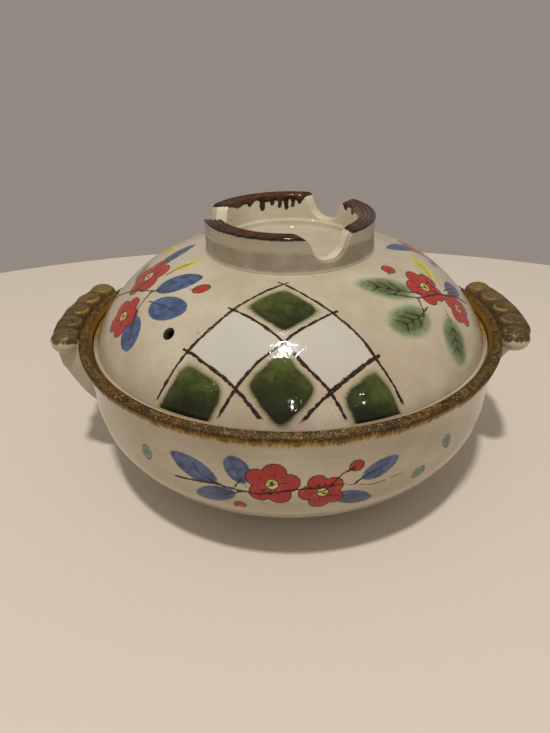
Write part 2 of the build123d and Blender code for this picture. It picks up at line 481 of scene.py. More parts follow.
@dataclass(frozen=True)
class Leaf:
    """A pointed leaf laid down with one press of a full brush, and its brushed midrib."""

    RIB = ((-1.25, 0.0), (-0.4, 0.12), (0.45, 0.0))
    """The midrib's path, in halves of the leaf's length and width, like the next two."""
    VEINED = 1.1
    """Length of the midrib that has side veins."""
    VEIN_REACH = 0.55
    VEIN_MM = (3.0, 2.0)
    """How far a vein starts behind its middle and ends ahead of it."""

    spot: Point
    length: float
    width: float
    lean: float
    """Direction from stalk to tip, in degrees from the right."""
    pigment: Pigment = Pigment.BLUE
    roundness: float = 0.35
    """0 is a lens with sharp points; 1 is an ellipse."""
    veins: int = 0
    """Pairs of side veins flicked out from the midrib."""

    def paint(self, work: Brushwork) -> None:
        """Paints the leaf."""
        u, v = work.at(self.spot, self.lean)
        half, broad = self.length / 2, self.width / 2
        bow = (half**2 + broad**2) / (2 * broad)
        lens = np.sqrt(u**2 + (np.abs(v) + bow - broad) ** 2) - bow
        oval = (np.sqrt((u / half) ** 2 + (v / broad) ** 2) - 1.0) * broad
        work.fill(self.pigment, lens * (1 - self.roundness) + oval * self.roundness)
        flicks = [tuple((half * along, broad * aside) for along, aside in self.RIB)]
        for k in range(self.veins):
            at = half * (self.RIB[-1][0] - self.VEINED * k / self.veins)
            back, ahead = self.VEIN_MM
            flicks += [((at - back, 0.0), (at + ahead, side * broad * self.VEIN_REACH)) for side in (-1, 1)]
        c, s = polar(1.0, self.lean)
        for flick in flicks:
            path = tuple((self.spot[0] + a * c - b * s, self.spot[1] + a * s + b * c) for a, b in flick)
            Stroke(path, width=1.4, tip=0.6).paint(work)


@dataclass(frozen=True)
class Blossom:
    """A plum blossom with five round petals, a yellow heart and brushed stamens."""

    spot: Point
    size: float
    """Distance from the heart to the petals' tips."""
    turn: float = 90.0

    PETALS = 5
    PETAL = 0.42
    """A petal's radius. This and the next three are shares of the blossom's size."""
    HEART = 0.2
    SEAM = (0.34, 0.72)
    """Where the line between two petals starts and ends."""
    STAMEN = 0.46
    HEART_GAP_MM = 0.5
    ANTHER_MM = 0.85

    def paint(self, work: Brushwork) -> None:
        """Paints the blossom."""
        px, py = work.at(self.spot)
        petal = self.size * self.PETAL
        turns = [self.turn + 360.0 * k / self.PETALS for k in range(self.PETALS)]
        for turn in turns:
            cx, cy = polar(self.size - petal, turn)
            work.fill(Pigment.RED, np.hypot(px - cx, py - cy) - petal)
        heart = np.hypot(px, py) - self.size * self.HEART
        work.clear(Pigment.RED, heart - self.HEART_GAP_MM)
        work.fill(Pigment.YELLOW, heart)
        for turn in turns:
            seam = [polar(self.size * share, turn + 180.0 / self.PETALS, self.spot) for share in self.SEAM]
            Stroke(tuple(seam), width=0.7, tip=1.2).paint(work)
            tip = polar(self.size * self.STAMEN, turn, self.spot)
            Stroke((self.spot, tip), width=1.0, tip=0.9).paint(work)
            work.line((np.hypot(work.x - tip[0], work.y - tip[1]) / self.ANTHER_MM) ** 2)


@dataclass(frozen=True)
class Bud:
    """A round closed bud on its calyx."""

    spot: Point
    size: float

    CALYX = (-1.1, -0.7)
    """Where its calyx starts, in sizes of the bud."""

    def paint(self, work: Brushwork) -> None:
        """Paints the bud."""
        work.fill(Pigment.RED, np.hypot(*work.at(self.spot)) - self.size)
        foot = (self.spot[0] + self.size * self.CALYX[0], self.spot[1] + self.size * self.CALYX[1])
        Stroke((foot, self.spot), width=1.6, tip=0.5).paint(work)


@dataclass(frozen=True)
class Dot:
    """A jade dot in one dab, ringed with a thin iron line."""

    spot: Point
    length: float
    width: float
    lean: float
    """Direction of its length, in degrees from the right."""

    LINE_MM = 0.5
    """Half width of the line round it."""

    def paint(self, work: Brushwork) -> None:
        """Paints the dot."""
        u, v = work.at(self.spot, self.lean)
        edge = (np.hypot(u * 2 / self.length, v * 2 / self.width) - 1.0) * self.width / 2
        work.fill(Pigment.JADE, edge)
        work.line((edge / self.LINE_MM) ** 2)


@dataclass(frozen=True)
class Spray:
    """A painted group: its spot on the piece, and its shapes around that spot."""

    azimuth: float
    run: float
    shapes: tuple[Stroke | Leaf | Blossom | Bud | Dot, ...]

    def paint(self, work: Brushwork) -> None:
        """Paints the group, and its twin on the far side of the piece."""
        work.stand(self.azimuth, self.run)
        for shape in self.shapes:
            shape.paint(work)


# Glazes


def srgb(colour: str) -> tuple[float, float, float, float]:
    """Turns a hex colour as seen on screen into the linear colour that a shader takes."""
    parts = [int(colour.lstrip("#")[k:k + 2], 16) / 255 for k in (0, 2, 4)]
    linear = [c / 12.92 if c <= 0.04045 else ((c + 0.055) / 1.055) ** 2.4 for c in parts]
    return (*linear, 1.0)


def sum_of(operation: str, swapped: bool = False) -> Callable[..., "Value"]:
    """Makes the method that puts a value through a Math node.

    Args:
        operation: what the node does.
        swapped: whether the value comes last.

    Returns:
        The method.
    """
    def method(self: "Value", *others: object) -> "Value":
        """What the node makes of this value and others."""
        ends = (*others, self) if swapped else (self, *others)
        return self.recipe.add("Math", *ends, operation=operation)

    return method


class Value:
    """What a shader node gives out. It takes part in sums as a number does."""

    NOISE = (0.3, 0.7)
    """Between these two lies nearly all of a noise."""

    __abs__ = sum_of("ABSOLUTE")
    __add__ = sum_of("ADD")
    __sub__ = sum_of("SUBTRACT")
    __rsub__ = sum_of("SUBTRACT", swapped=True)
    __mul__ = sum_of("MULTIPLY")
    __pow__ = sum_of("POWER")
    __mod__ = sum_of("FLOORED_MODULO")
    __gt__ = sum_of("GREATER_THAN")
    __lt__ = sum_of("LESS_THAN")
    most = sum_of("MAXIMUM")
    least = sum_of("MINIMUM")
    floor = sum_of("FLOOR")
    fraction = sum_of("FRACT")
    sine = sum_of("SINE")

    def __init__(self, recipe: "Recipe", socket: bpy.types.NodeSocket | None) -> None:
        """Stands for one output of a node in a recipe."""
        self.recipe = recipe
        self.socket = socket

    def __getitem__(self, name: str) -> "Value":
        """The output of the same node that has the name given."""
        return Value(self.recipe, self.socket.node.outputs[name])

    def spread(self, start: float, end: float, low: float = 0.0, high: float = 1.0) -> "Value":
        """Goes from low to high while this value goes from start to end, and no further."""
        return self.recipe.add("MapRange", self, start, end, low, high)

    def swing(self, low: float, high: float) -> "Value":
        """Spreads a noise from low to high."""
        return self.spread(*self.NOISE, low, high)

    def blend(self, under: object, over: object) -> "Value":
        """One colour where this value is 0, another where it is 1."""
        return self.recipe.add("Mix", self, under, over, data_type="RGBA")

    def mix(self, under: object, over: object) -> "Value":
        """One number where this value is 0, another where it is 1."""
        return self.recipe.add("Mix", self, under, over, data_type="FLOAT")

    def noise(self, grain: float, *detail: float) -> "Value":
        """A noise at this place.

        Args:
            grain: size of its coarsest grains, in millimetres.
            detail: how many finer layers it has, and how strong they are.

        Returns:
            The noise.
        """
        return self.recipe.add("TexNoise", self, 1 / grain, *detail)

    def stretch(self, *by: float) -> "Value":
        """This place or colour, multiplied along each of its three axes."""
        return self.recipe.add("VectorMath", self, by, operation="MULTIPLY")

    def along(self, axis: str) -> "Value":
        """How far this place lies along an axis."""
        return self.recipe.add("SeparateXYZ", self)[axis]

    def flat(self) -> "Value":
        """This place as seen from above."""
        return self.recipe.add("CombineXYZ", self.along("X"), self.along("Y"))

    def size(self) -> "Value":
        """How far this place lies from the origin."""
        return self.recipe.add("VectorMath", self, operation="LENGTH")["Value"]


class Recipe:
    """A material or a world in the making: its node tree and the one way of adding to it."""

    def __init__(self, owner: bpy.types.Material | bpy.types.World) -> None:
        """Starts on an empty node tree of the material or the world given."""
        owner.use_nodes = True
        self.owner = owner
        self.tree = owner.node_tree
        self.tree.nodes.clear()

    @classmethod
    def glaze(cls, name: str) -> "Recipe":
        """Starts a new material with the name given."""
        return cls(bpy.data.materials.new(name))

    def add(self, kind: str, *values: object, ramp: Sequence[tuple[float, str]] = (),
            into: dict[str, object] | None = None, **settings: object) -> Value:
        """Adds a node, with its settings and what goes into it.

        Args:
            kind: the node's type, without the words ShaderNode in front.
            values: what goes into its inputs, in order.
            ramp: places and hex colours of a colour ramp.
            into: what goes into inputs that are better named than counted.
            settings: the node's own settings.

        Returns:
            What the node gives out first.
        """
        node = self.tree.nodes.new("ShaderNode" + kind)
        for name, value in settings.items():
            setattr(node, name, value)
        for k, (place, colour) in enumerate(ramp):
            stops = node.color_ramp.elements
            stop = stops[k] if k < 2 else stops.new(place)
            stop.position = place
            stop.color = srgb(colour)
        open_inputs = [s for s in node.inputs if s.enabled]
        wanted = list(zip(open_inputs, values))
        wanted += [(next(s for s in open_inputs if s.name == name), value) for name, value in (into or {}).items()]
        for socket, value in wanted:
            if isinstance(value, Value):
                self.tree.links.new(value.socket, socket)
            else:
                socket.default_value = srgb(value) if isinstance(value, str) else value
        return Value(self, next((s for s in node.outputs if s.enabled), None))

    def place(self) -> Value:
        """The place of a surface point in the pot's frame, in millimetres."""
        return self.add("TexCoord")["Object"].stretch(*(1 / MM,) * 3)

    def read(self, attribute: str) -> Value:
        """The number that a mesh attribute holds."""
        return self.add("Attribute", attribute_name=attribute)["Fac"]


@dataclass
class Coat:
    """What one layer of a surface gives to the shader."""

    colour: Value
    roughness: Value | float
    height: Value | float
    """Millimetres above the clay."""

    def stain(self, mask: Value, colour: object) -> None:
        """Changes the colour where a mask is 1."""
        self.colour = mask.blend(self.colour, colour)

    def under(self, over: "Coat", mask: Value) -> "Coat":
        """This coat with another one laid over it where a mask is 1."""
        return Coat(mask.blend(self.colour, over.colour), mask.mix(self.roughness, over.roughness),
                    mask.mix(self.height, over.height))

    def fire(self, shine: float = 0.5) -> bpy.types.Material:
        """Closes the material: the coat goes into one glossy shader, with its height as bump.

        Args:
            shine: how strongly it reflects, where 0.5 is what clear glass does.

        Returns:
            The material.
        """
        recipe = self.colour.recipe
        bump = recipe.add("Bump", into={"Strength": 1.0, "Distance": MM, "Height": self.height})
        recipe.add("OutputMaterial", recipe.add("BsdfPrincipled", into={
            "Base Color": self.colour, "Roughness": self.roughness, "IOR": 1.52, "Specular IOR Level": shine,
            "Normal": bump}))
        return recipe.owner


@dataclass(frozen=True)
class CrackleGlaze:
    """Clear ash glaze over buff stoneware, dipped: creamy, glossy, finely crazed, with iron specks.

    In this and in the next ones, a pair named after a layer says where in its noise the layer starts and is full.
    """

    thick: str = "#bab09b"
    thin: str = "#a99d84"
    blush: str = "#b39e8c"
    speck: str = "#6d5a40"
    craze: str = "#93815f"
    roughness: float = 0.05
    roughness_more: float = 0.04
    cloud_mm: float = 38.0
    clouds: Pair = (0.35, 0.65)
    blush_mm: float = 83.6
    blushes: Pair = (0.5, 0.72)
    blush_cover: float = 0.55
    craze_mm: float = 5.5
    craze_bend_mm: float = 3.0
    craze_width: float = 0.05
    """Width of a craze line, as a share of the distance between two."""
    craze_cover: Pair = (0.03, 0.2)
    """How strongly it shows at least and at most."""
    speck_mm: float = 4.6
    specked: Pair = (0.5, 1.0)
    """Which cells hold a speck: none below the first share, the largest at the second."""
    speck_size: float = 0.15
    speck_cover: float = 0.7
    grit_per_mm: float = 0.9
    grits: Pair = (0.55, 0.72)
    grit_cover: float = 0.4
    peel_mm: float = 5.0
    peel_height: float = 0.045
    """Height of the glaze's orange peel, in millimetres."""
    wheel_mark_mm: float = 6.5
    """Distance between the throwing rings that show through the glaze."""
    wheel_mark_height: float = 0.03
    craze_depth: float = 0.012

    def coat(self, spot: Value) -> Coat:
        """The glaze as one coat, at the place given in millimetres."""
        add = spot.recipe.add
        cloud = spot.noise(self.cloud_mm, 3.0, 0.6)
        tone = cloud.spread(*self.clouds).blend(self.thin, self.thick)
        warm = spot.noise(self.blush_mm, 2.0, 0.5).spread(*self.blushes, 0.0, self.blush_cover)
        tone = warm.blend(tone, self.blush)
        sway = spot.noise(self.craze_mm, 2.0)["Color"].stretch(*(self.craze_bend_mm,) * 3)
        cells = add("TexVoronoi", add("VectorMath", spot, sway), 1 / self.craze_mm, feature="DISTANCE_TO_EDGE")
        craze = cells.spread(0.0, self.craze_width, 1.0, 0.0)
        tone = (craze * cloud.swing(*self.craze_cover)).blend(tone, self.craze)
        dots = add("TexVoronoi", spot, 1 / self.speck_mm)
        speck = dots < dots["Color"].spread(*self.specked, 0.0, self.speck_size)
        tone = (speck * self.speck_cover).blend(tone, self.speck)
        grit = add("TexNoise", spot, self.grit_per_mm, 4.0, 0.75)
        tone = grit.spread(*self.grits, 0.0, self.grit_cover).blend(tone, self.craze)
        rough = cloud.swing(self.roughness, self.roughness + self.roughness_more)
        peel = spot.noise(self.peel_mm, 2.0).swing(0.0, self.peel_height)
        rings = (spot.along("Z") * (math.tau / self.wheel_mark_mm)).sine() * self.wheel_mark_height
        return Coat(tone, rough, peel + rings - craze * self.craze_depth)


@dataclass(frozen=True)
class IronRimGlaze:
    """Iron slip brushed on under the glaze: olive brown, with amber where it runs thin, and pale crystals."""

    dark: str = "#231502"
    middle: str = "#624209"
    amber: str = "#a07a16"
    crystal: str = "#a08c58"
    roughness: float = 0.5
    roughness_more: float = 0.15
    mottle_mm: float = 5.0
    mottles: Pair = (0.35, 0.68)
    mottle_height: Pair = (0.08, 0.2)
    streak_mm: float = 1.6
    streaks: Pair = (0.42, 0.68)
    streak_cover: float = 0.85
    streak_stretch: float = 0.12
    """How much slower the streaks change downwards than across."""
    crystal_mm: float = 0.9
    crystals: Pair = (0.54, 0.66)
    crystal_cover: float = 0.75
    crystal_height: float = 0.07
    crystals_left: Pair = (1.0, 0.1)
    """Share of the crystals that shows where the glaze is thick, and where it is half thin or thinner."""

    def coat(self, spot: Value, thinness: Value) -> Coat:
        """The glaze as one coat.

        Args:
            spot: the place, in millimetres.
            thinness: 0 where the glaze is thick and dark, 1 where it runs out in amber.

        Returns:
            The coat.
        """
        mottle = spot.noise(self.mottle_mm, 4.0, 0.6)
        tone = mottle.spread(*self.mottles).blend(self.dark, self.middle)
        tone = thinness.blend(tone, self.amber)
        streak = spot.stretch(1.0, 1.0, self.streak_stretch).noise(self.streak_mm, 3.0)
        tone = (streak.spread(*self.streaks, 0.0, self.streak_cover) * thinness).blend(tone, self.dark)
        fine = spot.noise(self.crystal_mm, 2.0, 0.6)
        fleck = fine.spread(*self.crystals, 0.0, self.crystal_cover)
        tone = (fleck * thinness.spread(0.0, 0.5, *self.crystals_left)).blend(tone, self.crystal)
        rough = fine.spread(0.4, 0.7, self.roughness, self.roughness + self.roughness_more)
        return Coat(tone, rough, mottle.swing(*self.mottle_height) + fine.swing(0.0, self.crystal_height))


@dataclass(frozen=True)
class TenmokuGlaze:
    """Thick iron glaze, poured: nearly black where it lies deep, red brown where it breaks over an edge."""

    deep: str = "#140a04"
    broken: str = "#5c2e0b"
    roughness: float = 0.1
    break_mm: float = 4.0
    deeps: Pair = (0.4, 0.85)
    depth_share: float = 0.5
    """How much the depth adds to that noise."""
    height: float = 0.15

    def coat(self, spot: Value, depth: Value) -> Coat:
        """The glaze as one coat, where depth is 1 in grooves and drips and 0 on edges."""
        pooled = (spot.noise(self.break_mm, 3.0) + depth * self.depth_share).spread(*self.deeps)
        return Coat(pooled.blend(self.broken, self.deep), self.roughness, self.height)


@dataclass(frozen=True)
class AshGreySlip:
    """Ash slip brushed round the ring's foot: greige, half matt, sandy to the eye."""

    base: str = "#8a7e6a"
    pale: str = "#a0947f"
    dark: str = "#60574a"
    roughness: float = 0.38
    roughness_more: float = 0.15
    patch_mm: float = 13.2
    patches: Pair = (0.35, 0.7)
    sand_mm: float = 1.1
    dark_sand: Pair = (0.58, 0.75)
    dark_cover: float = 0.7
    pale_sand: Pair = (0.25, 0.38)
    """Where in it the pale grains start to fade and are gone."""
    pale_cover: float = 0.5
    sand_height: float = 0.08

    def coat(self, spot: Value) -> Coat:
        """The slip as one coat, at the place given in millimetres."""
        sand = spot.noise(self.sand_mm, 3.0, 0.7)
        tone = spot.noise(self.patch_mm, 3.0).spread(*self.patches).blend(self.base, self.pale)
        tone = sand.spread(*self.dark_sand, 0.0, self.dark_cover).blend(tone, self.dark)
        tone = sand.spread(*self.pale_sand, self.pale_cover, 0.0).blend(tone, self.pale)
        rough = sand.swing(self.roughness, self.roughness + self.roughness_more)
        return Coat(tone, rough, sand * self.sand_height)


@dataclass(frozen=True)
class BareClay:
    """Unglazed stoneware, wiped with a sponge: matt, sandy, toasted by the fire."""

    base: str = "#b79c79"
    toasted: str = "#94724c"
    roughness: float = 0.85
    toast_mm: float = 25.0
    toasts: Pair = (0.4, 0.7)
    sand_per_mm: float = 1.2
    sand: Pair = (0.55, 0.8)
    sand_cover: float = 0.5
    sand_height: float = 0.12

    def coat(self, spot: Value) -> Coat:
        """The clay as one coat, at the place given in millimetres."""
        sand = spot.recipe.add("TexNoise", spot, self.sand_per_mm, 4.0, 0.7)
        tone = spot.noise(self.toast_mm, 3.0).spread(*self.toasts).blend(self.base, self.toasted)
        tone = sand.spread(*self.sand, 0.0, self.sand_cover).blend(tone, self.toasted)
        return Coat(tone, self.roughness, sand * self.sand_height)


@dataclass(frozen=True)
class Wash:
    """How one pigment lies on the ground."""

    pigment: Pigment
    thin: str
    full: str
    fade: float
    """Half of the width over which its edge fades, in millimetres."""
    deepens: float
    """How far inside its edge it is full, in millimetres."""
    sway: float
    """How far patches shift that, in millimetres."""
    cover: float
    """How much of the ground it hides."""


@dataclass(frozen=True)
class PaintBox:
    """Overglaze and underglaze colours as a brush leaves them: flat red, streaky blue, soft copper green."""

    red: str = "#9b1f13"
    red_thin: str = "#ac3528"
    blue: str = "#1d3154"
    blue_thin: str = "#48648c"
    iron: str = "#1a0f08"
    iron_thin: str = "#3c2616"
    bristle_mm: float = 1.3
    patch_mm: float = 5.0
    shake_mm: float = 0.55
    """How far the bristles shift an edge."""
    blue_pool_mm: float = 1.6
    """Width of the darker line that the blue leaves inside its edge."""
    blue_pool_depth: float = 0.7
    blue_patches: Pair = (0.38, 0.62)
    blue_least: float = 0.35
    """How deep the blue is where it is thinnest."""
    red_rim_mm: float = 0.15
    """How far inside the red's edge its thin outline runs."""
    red_rim_fade: Pair = (0.25, 0.6)
    red_rim_cover: float = 0.85
    line_shake: Pair = (-0.35, 0.5)
    """How far the bristles shift a line's edge, as the line counts: squared, in half widths."""
    line_fade: Pair = (1.25, 0.7)
    """Where a line starts and is full, counted likewise."""
    line_cover: float = 0.96
    iron_patches: Pair = (0.35, 0.65)

    def washes(self) -> tuple[Wash, ...]:
        """The pigments, from the one that is laid first."""
        return (
            Wash(Pigment.GREEN, "#83906b", "#414f28", 1.5, 5.0, 2.0, 0.93),
            Wash(Pigment.YELLOW, "#c9bd63", "#b3a21c", 0.6, 3.0, 3.0, 0.9),
            Wash(Pigment.BLUE, self.blue_thin, self.blue, 0.3, 3.0, 3.0, 0.95),
            Wash(Pigment.JADE, "#7d8f7c", "#4f6a58", 0.3, 2.0, 2.0, 0.9),
            Wash(Pigment.RED, self.red_thin, self.red, 0.2, 1.8, 1.8, 0.97),
        )

    def paint(self, spot: Value, ground: Coat) -> Coat:
        """Paints every colour and every line that a piece's attributes hold.

        Args:
            spot: the place, in millimetres.
            ground: the glaze that is painted on.

        Returns:
            The painted coat.
        """
        read = spot.recipe.read
        coat = replace(ground)
        bristle = spot.noise(self.bristle_mm, 3.0, 0.6)
        patch = spot.noise(self.patch_mm, 4.0, 0.65)
        shake = bristle.spread(0.0, 1.0, -self.shake_mm, self.shake_mm)
        for wash in self.washes():
            edge = read(wash.pigment.value) + shake
            if wash.pigment is Pigment.BLUE:
                pool = edge.spread(-self.blue_pool_mm, 0.0, 0.0, self.blue_pool_depth)
                depth = patch.spread(*self.blue_patches, self.blue_least, 1.0).most(pool)
            else:
                depth = (edge + patch.swing(-wash.sway, wash.sway)).spread(0.6, -wash.deepens)
            coat.stain(edge.spread(wash.fade, -wash.fade, 0.0, wash.cover), depth.blend(wash.thin, wash.full))
            if wash.pigment is Pigment.RED:
                rim = abs(edge + self.red_rim_mm).spread(*self.red_rim_fade, self.red_rim_cover, 0.0)
                coat.stain(rim, self.iron_thin)
        line = (read(IRON_LINE) + bristle.swing(*self.line_shake)).spread(*self.line_fade, 0.0, self.line_cover)
        coat.stain(line, patch.spread(*self.iron_patches).blend(self.iron, self.iron_thin))
        return coat


@dataclass(frozen=True)
class Lattice:
    """The diamond lattice: pooled green in every other cell, two cells washed white, and brushed iron lines.

    Its sizes are shares of a cell unless they end in mm.
    """

    foot_mm: float
    """Distance from the axis at which the dome ends."""
    box: PaintBox = PaintBox()
    white: str = "#bcb9b2"
    green: tuple[str, str, str, str] = ("#88875a", "#485022", "#2b3210", "#151907")
    """At the cell's edge, at its top, below that and at its foot."""
    green_height_mm: float = 0.22
    green_roughness: float = 0.06
    green_edge: Pair = (0.472, 0.37)
    """Where the green starts and where it is full, counted from the cell's middle."""
    green_ragged: Pair = (0.022, 0.008)
    """How far the pools and the bristles shift that."""
    green_body: Pair = (0.35, 0.95)
    """Between which shares of its body the green goes from its edge's colour to its full one."""
    green_low: Pair = (0.5, 1.7)
    """Between which sums of cells down and across, within a cell, the green goes from its top to its foot."""
    green_middle: float = 0.45
    low_mm: float = 12.0
    """Over how much of the dome above its foot the green is darker still, and by how much."""
    low_more: float = 0.4
    low_stray: Pair = (0.35, 0.1)
    """How far pools and curds shift the green's colour."""
    white_edge: Pair = (0.49, 0.45)
    white_cover: float = 0.62
    wobble_mm: float = 34.0
    wobble: float = 0.03
    bristle: float = 0.012
    pool_mm: float = 11.0
    curd_mm: float = 3.2
    ovalness: float = 0.8
    """How far the green's outline goes from a diamond towards an oval."""
    twist_mm: float = 7.0
    twist: float = 0.013
    """How far the two strands of a line swing apart."""
    strand: Pair = (0.013, 0.021)
    """Least and greatest half width of a strand."""
    strand_shake: Pair = (-0.004, 0.008)
    strand_fade: Pair = (0.008, -0.004)
    strand_patches: Pair = (0.4, 0.7)
    strand_thin: float = 0.6
    overshoot: float = 0.11
    """How far the lines cross the lattice's edge."""
    stop_mm: float = 2.0
    """How far inside the foot the lines end, and over what half width they fade and stray there."""
    stop_fade_mm: float = 0.4
    stop_stray_mm: float = 1.0

    def paint(self, spot: Value, ground: Coat) -> Coat:
        """Paints the lattice.

        Args:
            spot: the place, in millimetres.
            ground: the glaze that is painted on.

        Returns:
            The painted coat.
        """
        add, read = spot.recipe.add, spot.recipe.read
        bristle = spot.noise(self.box.bristle_mm, 3.0, 0.6)
        pool = spot.noise(self.pool_mm, 3.0, 0.55)
        sway = (spot.noise(self.wobble_mm, 1.0).swing(-self.wobble, self.wobble)
                + bristle.spread(0.0, 1.0, -self.bristle, self.bristle))
        reach = spot.flat().size()
        down = read(LATTICE_DOWN) + sway
        across = read(LATTICE_ACROSS) - sway
        inside = (down > 0.0) * (across > 0.0)
        odd = (down.floor() + across.floor()) % 2.0
        gaps = [abs(way.fraction() - 0.5) for way in (down, across)]
        diamond = gaps[0].most(gaps[1])
        oval = (gaps[0] ** 4.0 + gaps[1] ** 4.0) ** 0.25
        by_pool, by_bristle = self.green_ragged
        ragged = add("Mix", self.ovalness, diamond, oval, data_type="FLOAT") + pool.swing(-by_pool, by_pool)
        body = (ragged + bristle.swing(-by_bristle, by_bristle)).spread(*self.green_edge)
        on_dome = reach < self.foot_mm - 0.3
        green = add("Math", body * inside, on_dome - odd, operation="MULTIPLY", use_clamp=True)
        by_pool, by_curd = self.low_stray
        low = (down.fraction() + across.fraction()).spread(*self.green_low)
        low = low + reach.spread(self.foot_mm - self.low_mm, self.foot_mm, 0.0, self.low_more)
        low = low + pool.swing(-by_pool, by_pool) + spot.noise(self.curd_mm, 3.0, 0.6).swing(-by_curd, by_curd)
        edge, top, middle, foot = self.green
        deep = add("ValToRGB", low, ramp=((0.0, top), (1.0, foot), (self.green_middle, middle)))
        near_top = down.most(across) < 2.0
        washed = diamond.spread(*self.white_edge, 0.0, self.white_cover) * odd * (inside * near_top)
        coat = replace(ground)
        coat.stain(washed, self.white)
        coat.stain(green, body.spread(*self.green_body).blend(edge, deep))
        ink: object = 0.0
        twist = spot.noise(self.twist_mm, 1.0).spread(0.35, 0.65, -self.twist, self.twist)
        half = pool.swing(*self.strand)
        for way, other in ((down, across), (across, down)):
            aside = (way + 0.5).fraction() - 0.5
            strand = abs(aside + twist).least(abs(aside - twist))
            dark = (strand + bristle.swing(*self.strand_shake) - half).spread(*self.strand_fade)
            ink = add("Math", ink, dark * (other > -self.overshoot) * (way > -self.overshoot), operation="MAXIMUM")
        stop, fade, stray = self.foot_mm - self.stop_mm, self.stop_fade_mm, self.stop_stray_mm
        ink = ink * (reach + pool.swing(-stray, stray)).spread(stop + fade, stop - fade)
        thin = pool.spread(*self.strand_patches, 0.0, self.strand_thin)
        coat.stain(ink, thin.blend(self.box.iron, self.box.iron_thin))
        coat.height = coat.height + green * self.green_height_mm
        coat.roughness = green.mix(coat.roughness, self.green_roughness)
        return coat


# The pot


@dataclass(frozen=True)
class RimSizes:
    """The bowl's rim and gallery, and the heights that the lid and handles share with it."""

    corner: Point = (132.0, 97.0)
    ridge: Point = (127.8, 99.0)
    gallery: float = 124.0
    ledge: Point = (114.5, 88.5)
    lead_in: float = 3.5
    nose: float = 3.5
    soft_edge: float = 1.6


